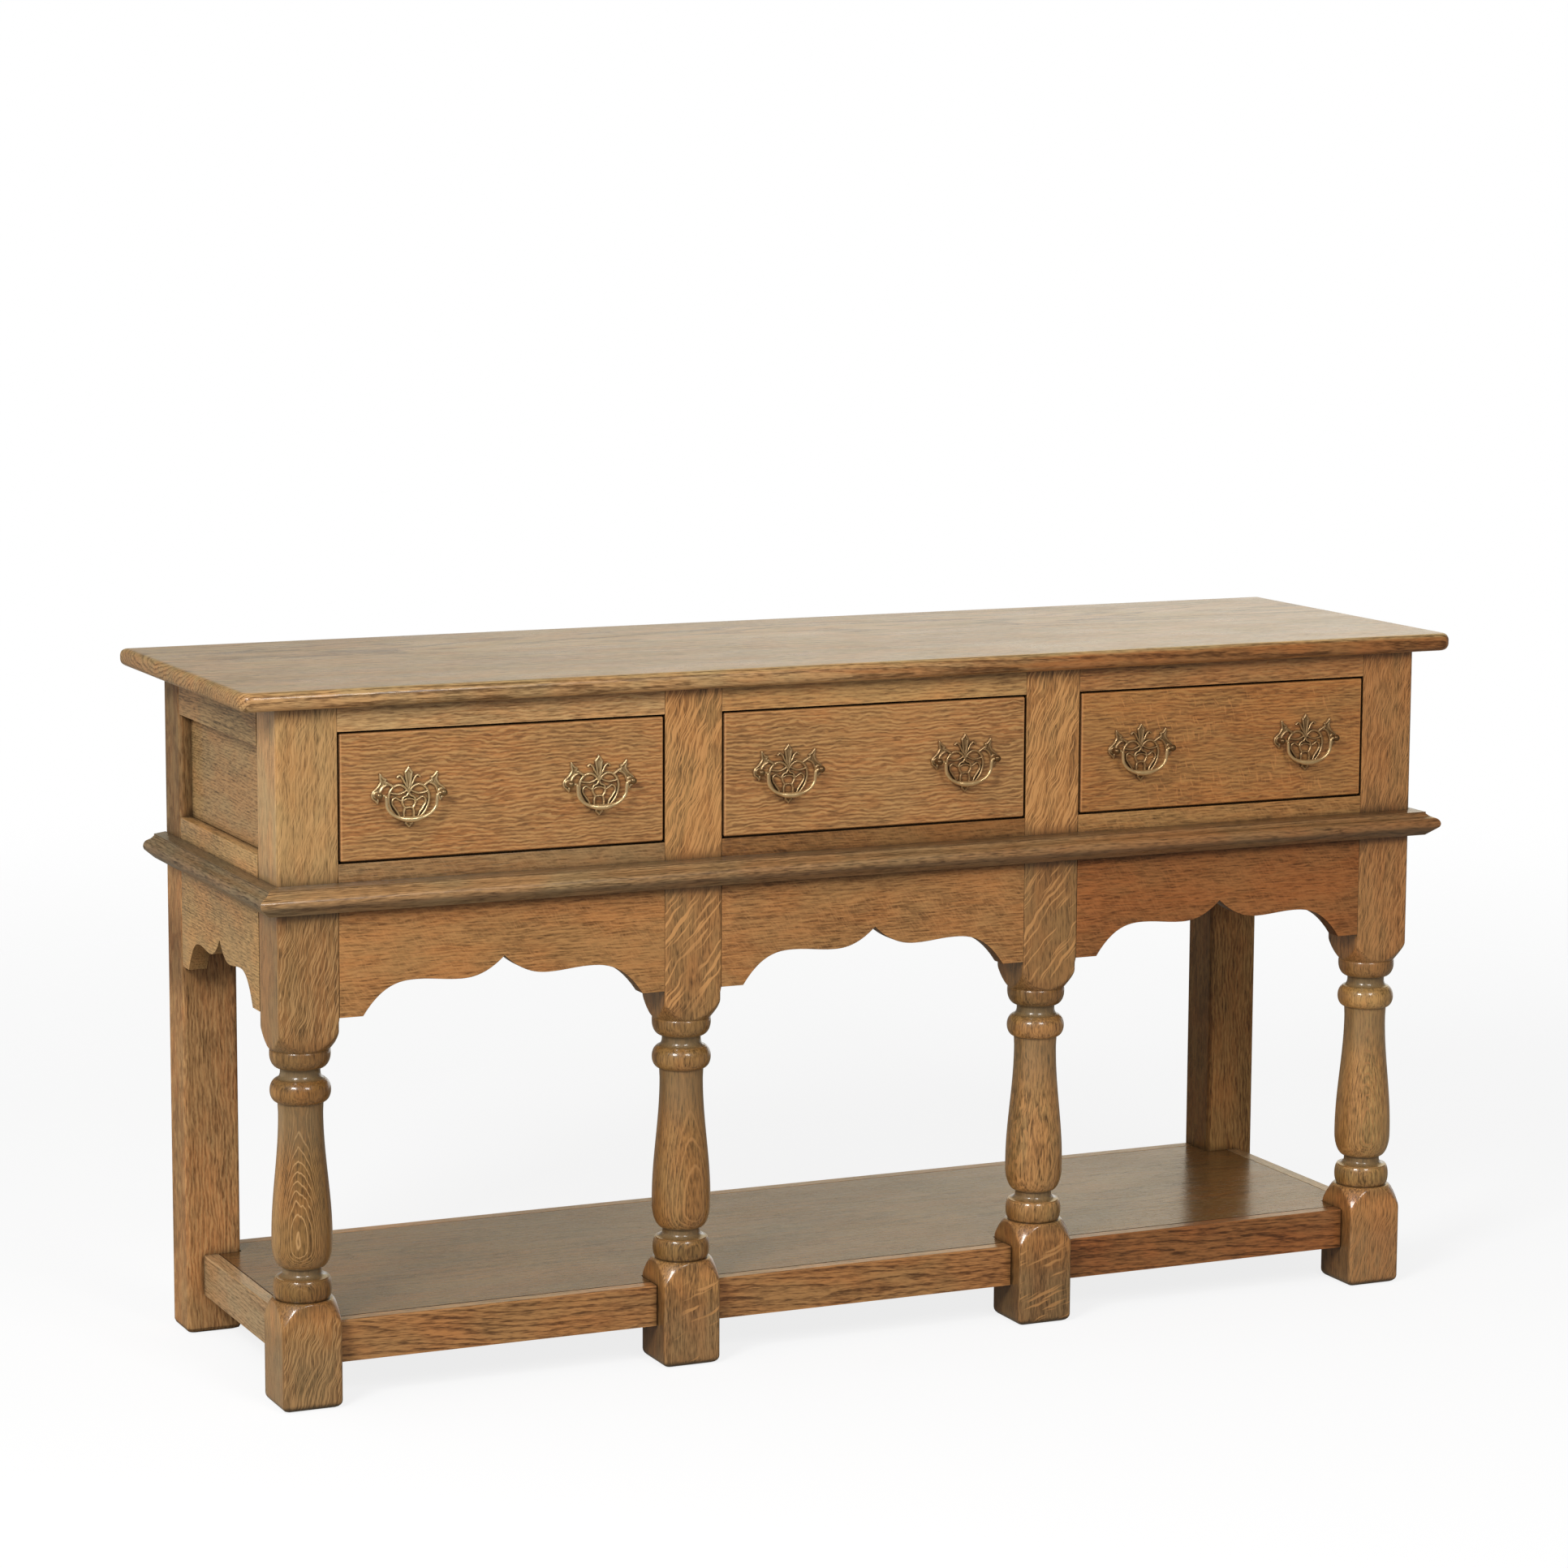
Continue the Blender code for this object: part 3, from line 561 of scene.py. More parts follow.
def brass(name, rightward_tint, post_tarnish_and_shade=(1, 1, 1)):
    """Old cast brass: rubbed bright on high parts, patina and painted shade in hollows and on posts, darker
    to the right.
    """
    made, tree, shader = new_material(name)
    place = add(tree, "TexCoord", out=3)
    high = step(tree, add(tree, "NewGeometry", out=7), 0.44, 0.54)
    tarnish = noise(tree, place, (0.006, 0.006, 0.006), 4.0, 0.6)
    rubbed = calc(tree, "ADD", centred(tree, tarnish, 1.0), high, clamp=True)
    metal = mix(tree, rubbed, colour(140, 109, 68), colour(242, 214, 164))
    spot = split(tree, place)
    metal = multiplied(tree, metal, step(tree, spot[0], *RIGHTWARD_DARKENING), rightward_tint)
    # Posts made darker: tarnish and painted shade.
    outwards = calc(tree, "SUBTRACT", DRAWER_FACE, spot[1])
    metal = multiplied(tree, metal, step(tree, outwards, *POST_SHOWN), post_tarnish_and_shade)
    # Hollows made darker: patina and painted shade.
    metal = mix(tree, product(tree, crevice_dirt_and_shade(tree, 0.006), 0.78), metal, colour(36, 25, 14))
    feed(tree, shader.inputs["Base Color"], metal)
    shader.inputs["Metallic"].default_value = 0.80
    scratch = noise(tree, place, (0.0003, 0.0003, 0.006), 2.0)
    rough = scaled(tree, rubbed, -0.20, 0.48)
    feed(tree, shader.inputs["Roughness"], scaled(tree, scratch, 0.10, rough))
    bumped(tree, shader, scaled(tree, scratch, 0.3, tarnish), 0.25, 0.0003)
    return made


# Tones, light and dark, of the boards
STRAW = colour(200, 155, 105), colour(114, 80, 47)
GOLDEN = colour(196, 146, 92), colour(104, 70, 40)
HONEY = colour(182, 129, 79), colour(94, 61, 34)
WARM = colour(180, 128, 79), colour(94, 60, 34)
TAWNY = colour(180, 130, 78), colour(84, 56, 30)
RUSSET = colour(173, 121, 72), colour(82, 55, 29)
RED = colour(160, 102, 58), colour(83, 48, 24)
COPPER = colour(177, 121, 69), colour(92, 55, 29)
DULL = colour(180, 142, 97), colour(98, 74, 46)
AMBER = colour(184, 142, 92), colour(98, 72, 42)
BROWN = colour(126, 89, 51), colour(67, 45, 24)
AGED = colour(174, 138, 96), colour(91, 68, 44)
FADED = colour(190, 153, 105), colour(108, 80, 48)


# Front legs, with the heights of the turned elements from the foot up and from the apron down
ARRIS = 0.0040
SHARP = 0.0006
FOOT_ROUND = 0.0085
FOOT_BLOCK = 0.0900
FOOT_SHOULDER = 0.0325
BASE_RING = 0.023
STEP = 0.002
LOW_NECK = 0.0105
BELLY = 0.028
VASE_WIDEST = 0.032
PUMMEL_DOWN = 0.006
PUMMEL = 0.0305
CUP = 0.0200
CUP_LIP = 0.0040
UPPER_NECK = 0.0122
COLLAR = 0.0262
COVE = 0.012
SPARE = 0.001
UPPER_NECK_R = 0.0224
VASE_TOP_R = 0.0250
LOW_NECK_R = 0.0216
BASE_LIP = 0.0012
BASE_LIP_R = 0.0298
RING_END_R = 0.0256
COLLAR_LIP = 0.0052
FACE_STEPS = 36
CORNER_STEPS = 6
CREASE = 0.0016


def leg_angles():
    """Angles round a leg, spaced evenly over each face and each rounded corner."""
    half, inner = LEG / 2, LEG / 2 - ARRIS
    face = np.arctan(np.linspace(-inner, inner, FACE_STEPS + 1) / half)
    corner = np.linspace(face[-1], np.pi / 2 + face[0], CORNER_STEPS + 1)[1:-1]
    quarter = np.concatenate([face, corner])
    return np.concatenate([quarter + k * np.pi / 2 for k in range(4)])


def square_reach(angles, half, arris):
    """Distance from the axis to a square with rounded corners."""
    turn = np.abs((angles + np.pi / 4) % (np.pi / 2) - np.pi / 4)
    inner = half - arris
    flat = half / np.cos(turn)
    along = inner * (np.cos(turn) + np.sin(turn))
    corner = along + np.sqrt(np.maximum(arris ** 2 - 2 * inner ** 2 + along ** 2, 0))
    return np.where(np.tan(turn) * half <= inner, flat, corner)


def soft_min(one, two, width):
    """The lesser of two values, with the change from one to the other rounded over a width."""
    share = np.clip(0.5 + 0.5 * (two - one) / width, 0, 1)
    return two + (one - two) * share - width * share * (1 - share)


def turned_profile():
    """(radius, height) down a front leg from the end of its upper square to its foot block."""
    full = LEG / 2 - SPARE
    clear = LEG * math.sqrt(0.5) + 2 * SPARE
    pummel = APRON_LOW - PUMMEL_DOWN
    cup = pummel - PUMMEL - STEP
    collar = cup - CUP - UPPER_NECK
    vase = collar - COLLAR - COVE
    foot = FOOT_BLOCK + FOOT_SHOULDER
    base = foot + STEP + BASE_RING
    neck = base + LOW_NECK
    widest = neck + VASE_WIDEST

    profile = []
    for share in np.linspace(0, 1, 22):
        profile.append((clear - (clear - full) * share ** 1.45, pummel - PUMMEL * share))
    profile += [(full - 0.0008, cup + STEP * 0.5), (full, cup)]
    inner = UPPER_NECK_R + 0.001
    profile += arc((inner, cup - CUP_LIP), (full - inner, CUP - CUP_LIP), 0, -90, 12)
    profile.append((UPPER_NECK_R, cup - CUP - 0.0022))
    flare = UPPER_NECK - 0.0042
    profile += arc((UPPER_NECK_R + COLLAR_LIP, collar + flare), (COLLAR_LIP, flare), 180, 270, 8)
    profile += [(UPPER_NECK_R + COLLAR_LIP + 0.0006, collar - 0.0003)]
    profile += arc((RING_END_R, collar - COLLAR / 2), (full - RING_END_R, COLLAR / 2), 70, -90, 20)
    for share in (0.3, 0.6):
        profile.append((RING_END_R + (VASE_TOP_R - RING_END_R) * share, collar - COLLAR - COVE * share))
    for share in np.linspace(0, 1, 30):
        swell = (1 - math.cos(math.pi * share)) / 2
        profile.append((VASE_TOP_R + (full - VASE_TOP_R) * swell, vase + (widest - vase) * share))
    profile += arc((LOW_NECK_R, neck + BELLY), (full - LOW_NECK_R, BELLY), 0, -90, 14)[1:]
    scotia = (BASE_LIP_R - 0.001 - LOW_NECK_R, LOW_NECK * 0.6)
    profile += arc((LOW_NECK_R + scotia[0], base + scotia[1]), scotia, 180, 270, 7)
    profile += [(BASE_LIP_R, base), (BASE_LIP_R, base - BASE_LIP)]
    ring = (full - SPARE - BASE_LIP_R + 0.002, BASE_RING * 0.60)
    profile += arc((BASE_LIP_R - 0.002, base - BASE_LIP - BASE_RING * 0.5), ring, 56, -62, 14)
    start = full - 0.0005
    for share in np.linspace(0, 1, 20):
        profile.append((start + (clear - start) * share, foot - FOOT_SHOULDER * share ** 1.3))
    return profile


def turned_leg(centre, joined_sides):
    """The square blank brought to the turned profile, with the corners kept square where boards meet it."""
    angles = leg_angles()
    half = LEG / 2
    square = square_reach(angles, half, ARRIS)
    meets = (np.sin(angles) < 0) & np.isin(np.sign(np.round(np.cos(angles), 6)), joined_sides)
    upper = square_reach(angles, half, np.where(meets, SHARP, ARRIS))
    levels = [(upper, LEG_HIGH.z), (upper, APRON_LOW)]
    for radius, height in turned_profile():
        width = CREASE * np.clip((radius - half) / 0.003, 0.05, 1)
        reach = soft_min(radius, square, width) if radius > half - SPARE / 2 else np.full_like(square, radius)
        levels.append((reach, height))
    levels.append((square, FOOT_BLOCK - 0.02))
    for inset, height in arc((FOOT_ROUND, FOOT_ROUND), (FOOT_ROUND, FOOT_ROUND), 180, 270, 5):
        levels.append((square_reach(angles, half - inset, ARRIS), height))
    rings = []
    for reach, height in levels:
        rings.append(np.stack([centre.x + reach * np.cos(angles), centre.y + reach * np.sin(angles),
                               np.full_like(reach, height)], 1))
    return loft(rings, 50)


MOULD_LOW, MOULD_TOP = (corner.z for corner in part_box("waist_moulding"))
# Painted shadow on the legs and aprons under the waist moulding: a soft band and a dark line at the joint.
SHADE_UNDER_MOULDING = (stain_and_shade_band(MOULD_LOW - 0.011, MOULD_TOP, (0.66, 0.66, 0.68), 0.011),
                  stain_and_shade_band(MOULD_LOW - 0.003, MOULD_TOP, (0.5, 0.5, 0.5), 0.002))


# Zones of a leg by height
APRON_LEVEL = APRON_LOW - 0.03, MOULD_LOW
DRAWER_LEVEL = MOULD_TOP, LEG_HIGH.z + 0.1
FOOT_LEVEL = -0.1, FOOT_BLOCK + 0.02
SHOULDER_LEVEL = FOOT_BLOCK - 0.012, 0.1235
BASE_LEVEL = 0.120, 0.152
TURNED_LEVEL = 0.11, 0.39
VASE_LEVEL = 0.13, 0.36
COLLAR_LEVEL = VASE_LEVEL[1], APRON_LEVEL[0]
RING_CAST = 0.84, 0.86, 0.82


def plain_rays(share):
    """Fine steep flecks all down the square parts of a leg."""
    return [rays(share, -16, (0.0012, 0.012, 0.026), few=0.50, bare=0.10, bright=1.35, zone=zone, face=1)
            for zone in (DRAWER_LEVEL, APRON_LEVEL, FOOT_LEVEL)]


def bold_rays(fine, bold):
    """Steep flecks beside the drawers, and broad ones that lie over towards the foot."""
    return [rays(fine, -22, (0.0018, 0.014, 0.036), few=0.50, bare=0.10, bright=1.42,
                 zone=DRAWER_LEVEL, face=1),
            rays(bold, -40, (0.0034, 0.020, 0.060), bright=1.35, zone=APRON_LEVEL, face=1),
            rays(bold, -68, (0.0042, 0.020, 0.050), few=0.58, bare=0.30, bright=1.25,
                 zone=FOOT_LEVEL, face=1)]


def mottled(share):
    """Short upright flecks on a turned swelling."""
    return rays(share, -6, (0.0020, 0.006, 0.018), few=0.52, bare=0.15, bright=1.30, zone=VASE_LEVEL)


def front_legs():
    """Four legs of one pattern from different boards: the middle two cut to show the rays."""
    looks = ((AMBER, (0.62, 0.55, 0.49), (1.01, 0.98, 0.85), 0.065, 0.0011, (1,)),
             (TAWNY, (0.88, 0.88, 0.91), (0.96, 0.99, 0.94), -0.002, 0.0026, (-1, 1)),
             (TAWNY, (0.76, 0.76, 0.79), (1.43, 1.52, 1.55), 0.002, 0.0026, (-1, 1)),
             (RUSSET, (1.02, 1.02, 1.05), (1.28, 1.54, 1.58), 0.065, 0.0011, (-1,)))
    rayed = ([ring_loops(0.95), *plain_rays(0.45)], [ring_loops(0.75), *bold_rays(0.80, 0.90)],
             [mottled(0.60), *bold_rays(0.85, 0.75)], [mottled(0.30), ring_loops(1.0), *plain_rays(0.60)])
    for number, (tone, below, vase, pith, spacing, joined_sides) in enumerate(looks, 1):
        node = f"front_leg_{number}"
        low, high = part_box(node)
        # Leg 1's left faces get painted light, the other legs' left faces painted shade; all get painted
        # shadow under the moulding.
        painted_left_side = (1.42, 1.50, 1.68) if number == 1 else (0.72, 0.68, 0.60)
        figures = [stain_and_shade_band(-1, MOULD_LOW + 0.02, below),
                   stain_and_shade_band(MOULD_TOP - 0.03, MOULD_TOP + 0.03, (0.78, 0.76, 0.76), 0.025),
                   stain_and_shade_band(high.z - 0.025, 1, (0.84, 0.82, 0.82), 0.025),
                   stain_and_shade_band(*TURNED_LEVEL, vase, 0.03),
                   stain_and_shade_band(*SHOULDER_LEVEL, (1.40, 1.34, 1.25), 0.02),
                   stain_and_shade_band(-1, SHOULDER_LEVEL[0], (0.94, 1.03, 1.20), 0.02),
                   stain_and_shade_band(*BASE_LEVEL, RING_CAST), stain_and_shade_band(*COLLAR_LEVEL, RING_CAST),
                   *rayed[number - 1], wax_film(0.65), painted_light_by_facing(0, painted_left_side, 0.85, 0.98), *SHADE_UNDER_MOULDING]
        material = oak(f"oak_leg_{number}", node, "Z", 10 + number, tone, figures, pith=(pith, 0.16),
                       spacing=spacing, wander=0.008, lines=0.18, streaks=1.15, wear=0.75, coat=0.7)
        mesh = turned_leg((low + high) / 2, joined_sides)
        piece(f"turned_leg_{number}", mesh, material, "carcass", "oak", node)


# Shaped aprons
OGEE_RISE = 0.037
OGEE_DIP = 0.0335
OGEE_POINT = 0.0560
APRON_FLAT = 0.027
SIDE_FLAT = 0.024
EASING = 0.0005


def ogee_edge(half, low, flat):
    """The shaped lower edge between two posts: flat ends, a double ogee and a point in the middle."""
    span = half - flat
    crown, hollow = span * 0.62, span * 0.31
    right = [(half, low)]
    for share in np.linspace(0, 1, 13):
        right.append((span + (crown - span) * share, low + OGEE_RISE * (1 - (1 - share) ** 2.6)))
    for share in np.linspace(0, 1, 7)[1:-1]:
        fall = (1 - math.cos(math.pi * share)) / 2
        right.append((crown + (hollow - crown) * share, low + OGEE_RISE + (OGEE_DIP - OGEE_RISE) * fall))
    for share in np.linspace(0, 1, 14)[:-1]:
        right.append((hollow * (1 - share), low + OGEE_DIP + (OGEE_POINT - OGEE_DIP) * share ** 2.2))
    left = [(-across, up) for across, up in reversed(right)]
    return right + [(0, low + OGEE_POINT)] + left


def apron_mesh(node, axis, flat):
    """A board along X or Y, axis 0 or 1, with its shaped lower edge."""
    low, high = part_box(node)
    half = (high[axis] - low[axis]) / 2
    outline = ogee_edge(half, low.z, flat) + [(-half, high.z), (half, high.z)]
    mesh = outline_solid(outline, high[1 - axis] - low[1 - axis], EASING)
    stand = Matrix.Rotation(axis * math.pi / 2, 4, "Z") @ Matrix.Rotation(math.pi / 2, 4, "X")
    middle = (low + high) / 2
    mesh.transform(Matrix.Translation((middle.x, middle.y, 0)) @ stand)
    return shade(mesh, 30)


def aprons():
    """Shaped boards under the case, the front ones reaching up to the drawers behind the moulding."""
    looks = ((HONEY, (0.73, 0.86, 1.04)), (WARM, (0.64, 0.62, 0.58)), (RED, (1.21, 1.60, 1.80)))
    for number, (tone, above) in enumerate(looks, 1):
        node = f"apron_{number}"
        # Undersides darkened as painted shade; painted shadow under the moulding.
        figures = [ripple_lines(0.20), rays(0.25, 55, (0.0020, 0.008, 0.010), bright=1.3),
                   stain_and_shade_band(MOULD_LOW, 1, above), painted_light_by_facing(2, (0.32, 0.29, 0.24)), *SHADE_UNDER_MOULDING]
        material = oak(f"oak_apron_{number}", node, "X", 20 + number, tone, figures, pith=(0.30, 0.05),
                       lines=0.20, specular=0.30, coat=0.0)
        piece(f"shaped_apron_{number}", apron_mesh(node, 0, APRON_FLAT), material, "carcass", "oak", node)
    for number, side in enumerate(("left", "right")):
        node = f"side_apron_{side}"
        # Undersides darkened as painted shade; painted shadow under the moulding.
        figures = [rays(0.30, -35, (0.0022, 0.008, 0.018)), stain_and_shade_band(-1, 1, (1.26, 1.26, 1.28)),
                   painted_light_by_facing(2, (0.5, 0.5, 0.5)), *SHADE_UNDER_MOULDING]
        material = oak(f"oak_side_apron_{side}", node, "Y", 31 + number, AMBER, figures, pith=(0.25, 0.05),
                       lines=0.35)
        piece(f"shaped_side_apron_{side}", apron_mesh(node, 1, SIDE_FLAT), material, "carcass", "oak", node)


# Waist moulding
MOULD_FILLET = 0.0146
FILLET_FALL = 0.0020
LIP = 0.0016
NOSE_DOWN = 0.0158
NOSE_HALF = 0.0075
NOSE_ROUND = 0.0080
HOLLOW = 0.0009


def moulding_section(out):
    """Distance out from the case and height: fillet, lip, hollow, round nose and slope back."""
    soft = 0.0004
    nose = arc((out - NOSE_ROUND, MOULD_TOP - NOSE_DOWN), (NOSE_ROUND, NOSE_HALF), 72, -35, 14)
    brow = MOULD_TOP - FILLET_FALL
    start = (MOULD_FILLET - soft, brow - LIP)
    section = [(GAP, MOULD_LOW), (GAP, MOULD_TOP), (MOULD_FILLET - soft, brow),
               (MOULD_FILLET, brow - soft), start]
    for share in np.linspace(0, 1, 8)[1:-1]:
        hollow = HOLLOW * math.sin(math.pi * share)
        section.append((start[0] + (nose[0][0] - start[0]) * share - hollow * 0.7,
                        start[1] + (nose[0][1] - start[1]) * share - hollow * 0.7))
    section += nose
    section += [(MOULD_FILLET, MOULD_LOW + soft), (MOULD_FILLET - soft, MOULD_LOW)]
    return section


def waist_moulding():
    """One frame mitred round the front and both ends, the grain turning at the mitres."""
    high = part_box("waist_moulding")[1]
    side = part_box("front_leg_4")[1].x
    front = LEG_LOW.y
    section = moulding_section(high.x - side)
    rings = []
    for sign, mitred in ((-1, False), (-1, True), (1, True), (1, False)):
        rings.append([(sign * (side + out), front - out if mitred else high.y, height)
                      for out, height in section])
    mesh = loft(rings, 28)
    brow = MOULD_TOP - FILLET_FALL
    nose = MOULD_TOP - NOSE_DOWN
    # The nose's underside made darker below its middle: painted shade.
    figures = [stain_and_shade_band(brow - LIP, 1, (0.66, 0.67, 0.70), LIP),
               stain_and_shade_band(-1, nose, (0.66, 0.68, 0.74), NOSE_HALF)]
    ends = [*figures, stain_and_shade_band(-1, 1, (0.68, 0.74, 0.86))]
    # Darker and redder towards the right end.
    figures.append(tinted_to_the_right((0.72, 0.58, 0.50)))
    materials = [oak("oak_moulding_front", "waist_moulding", "X", 41, AGED, figures, pith=(0.2, 0.1),
                     wear=0.5, coat=0.45),
                 oak("oak_moulding_ends", "waist_moulding", "Y", 42, AGED, ends, pith=(0.2, 0.1))]
    made = piece("moulded_waist", mesh, materials, "carcass", "oak", "waist_moulding")
    for face in made.data.polygons:
        across = [made.data.vertices[k].co.x for k in face.vertices]
        face.material_index = 0 if max(across) - min(across) > side else 1


# Top board
TOP_ROUND = 0.0085
TOP_INSET = TOP_ROUND + 0.004
FRONT_CORNER = 0.016
BACK_CORNER = 0.003


def top_outline(low, high, inset, height):
    """The top's plan, drawn in by an inset, with wider curves at the front corners."""
    ring = []
    for quarter, (x, y) in enumerate(((high.x, high.y), (low.x, high.y), (low.x, low.y), (high.x, low.y))):
        sx, sy = (1, -1, -1, 1)[quarter], (1, 1, -1, -1)[quarter]
        corner = max((BACK_CORNER if sy > 0 else FRONT_CORNER) - inset, 0.001)
        centre = (x - sx * (inset + corner), y - sy * (inset + corner))
        ring += [(a, b, height) for a, b in arc(centre, (corner, corner), 90 * quarter, 90 * quarter + 90, 6)]
    return ring


def edge_darkened_rightwards(top):
    """The rounded edge below the top's surface, darker and redder towards the right."""
    def draw(tree, board, wood):
        edge = step(tree, board.spot[2], top - 0.0012, top - 0.0050)
        streak = centred(tree, noise(tree, board.seeded, (0.004, 0.004, 0.12), 3.0), 0.9)
        right = step(tree, calc(tree, "ADD", board.spot[0], streak), -0.25, 0.35)
        tint = mix(tree, right, (1.02, 0.96, 0.96, 1), (0.72, 0.48, 0.35, 1))
        return multiplied(tree, wood, edge, tint)
    return draw


def top_board():
    """The top with its edge rounded above and below."""
    low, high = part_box("top_board")
    rings = [top_outline(low, high, TOP_INSET, low.z)]
    for inset, height in arc((TOP_ROUND, low.z + TOP_ROUND), (TOP_ROUND, TOP_ROUND), 270, 180, 8):
        rings.append(top_outline(low, high, inset, height))
    for inset, height in arc((TOP_ROUND, high.z - TOP_ROUND), (TOP_ROUND, TOP_ROUND), 180, 90, 8):
        rings.append(top_outline(low, high, inset, height))
    rings.append(top_outline(low, high, TOP_INSET, high.z))
    material = oak("oak_top", "top_board", "X", 51, FADED, [edge_darkened_rightwards(high.z)], pith=(0.16, 0.10),
                   spacing=0.0060, tilt=1.5, lines=0.7, coat=0.24)
    piece("moulded_top", loft(rings, 40), material, "carcass", "oak", "top_board")


# Handles
PLATE_THICK = 0.0026
PLATE_EDGE = 0.0006
DISH = 0.0012
POST_HALF = 0.0375
POST_OUT = 0.0115
KNOB = 0.0041
STEM = 0.0028
WIRE = 0.0019
PIVOT = 0.0014
WIRE_SIDES = 16
GRIP_HALF = 0.0115
GRIP_BELOW = 0.015
GRIP_SWELL = 0.70
BAIL_DROP = 0.0278
# Grid of the relief, cells to each side, down and up, and millimetres in from the edge of a band
RELIEF_GRID = 0.00045
CELLS_ASIDE, CELLS_DOWN, CELLS_UP = 98, 90, 72
BAND_ROUND = 1.25
DISH_START = 1.6
DISH_WIDE = 1.4


def plate_bands():
    """Right half of the plate's scrollwork in millimetres: control points and a width for each band."""
    heart = ((0, 1.0), (4.0, 6.2), (8.0, 8.8), (12.4, 9.4), (17.6, 7.6), (21.8, 2.8), (23.6, -3.6),
             (23.2, -10.0), (20.8, -17.0), (16.6, -23.2), (10.5, -28.2), (0, -30.6))
    eyelid = ((1.6, 3.6), (6.5, 1.0), (12.0, -0.6), (18.0, 0.2), (22.8, 1.4))
    urn = ((0, 1.0), (2.4, -2.6), (6.2, -4.4), (7.8, -8.8), (6.6, -13.2), (4.8, -16.4), (5.8, -21.0),
           (5.6, -29.0))
    shoulder = ((7.4, -9.0), (11.4, -7.0), (15.4, -4.6), (18.8, -6.4), (19.6, -11.0), (16.0, -17.0),
                (12.4, -22.0), (10.2, -27.6))
    hook = ((2.2, 7.5), (5.0, 12.5), (7.4, 17.4), (10.6, 19.8), (13.2, 17.8))
    return ((heart, 2.8), (eyelid, 2.2), (urn, 2.5), (shoulder, 2.2), (hook, 2.4),
            (((0, -6.2), (3.8, -6.6), (7.6, -8.6)), 2.0), (((0, -15.8), (4.8, -16.4)), 2.2),
            (((17.6, 7.6), (21.5, 10.2), (25.6, 12.6)), 3.0))


def plate_leaves():
    """Solid parts of the right half in millimetres: the ear with the post's lobe, the finial and the drop."""
    ear = [(22.6, 9.4), (26.0, 13.4), (25.4, 17.2), (28.8, 18.8), (33.6, 24.0), (34.2, 18.6), (33.6, 14.0),
           (36.8, 8.8), (41.8, 4.4), (43.8, 0.0), (42.6, -4.8), (38.8, -8.0), (36.2, -10.8), (34.2, -5.4),
           (32.6, 0.4), (30.4, 5.4), (26.8, 8.4), (22.6, 9.4)]
    finial = [(0, 30.6), (2.2, 27.4), (5.2, 23.6), (4.5, 20.0), (4.0, 16.0), (3.3, 11.0), (2.2, 6.0),
              (0, 1.0)]
    drop = [(0, -29.6), (4.4, -31.0), (5.0, -34.0), (2.2, -36.6), (0, -39.2)]
    return curve_through(ear, 4), finial, drop


def segment_distance(x, z, start, end):
    """Distance to a straight piece of a line."""
    dx, dz = end[0] - start[0], end[1] - start[1]
    length = dx * dx + dz * dz + 1e-12
    share = np.clip(((x - start[0]) * dx + (z - start[1]) * dz) / length, 0, 1)
    return np.hypot(x - start[0] - share * dx, z - start[1] - share * dz)


def plate_distance(x, z):
    """Signed distance to the scrollwork in millimetres, negative inside."""
    x = np.abs(x)
    nearest = np.full_like(x, 1e3)
    for points, width in plate_bands():
        line = curve_through(points, 6)
        for start, end in zip(line, line[1:]):
            nearest = np.minimum(nearest, segment_distance(x, z, start, end) - width / 2)
    for leaf in plate_leaves():
        edge = np.full_like(x, 1e3)
        inside = np.zeros(x.shape, bool)
        closed = list(leaf) + ([leaf[0]] if leaf[0][0] else [])
        for start, end in zip(closed, closed[1:]):
            edge = np.minimum(edge, segment_distance(x, z, start, end))
        for start, end in zip(closed, closed[1:] + closed[:1]):
            crosses = (start[1] > z) != (end[1] > z)
            slope = (end[0] - start[0]) / (end[1] - start[1] + 1e-12)
            inside ^= crosses & (x < start[0] + slope * (z - start[1]))
        nearest = np.minimum(nearest, np.where(inside, -edge, edge))
    return nearest


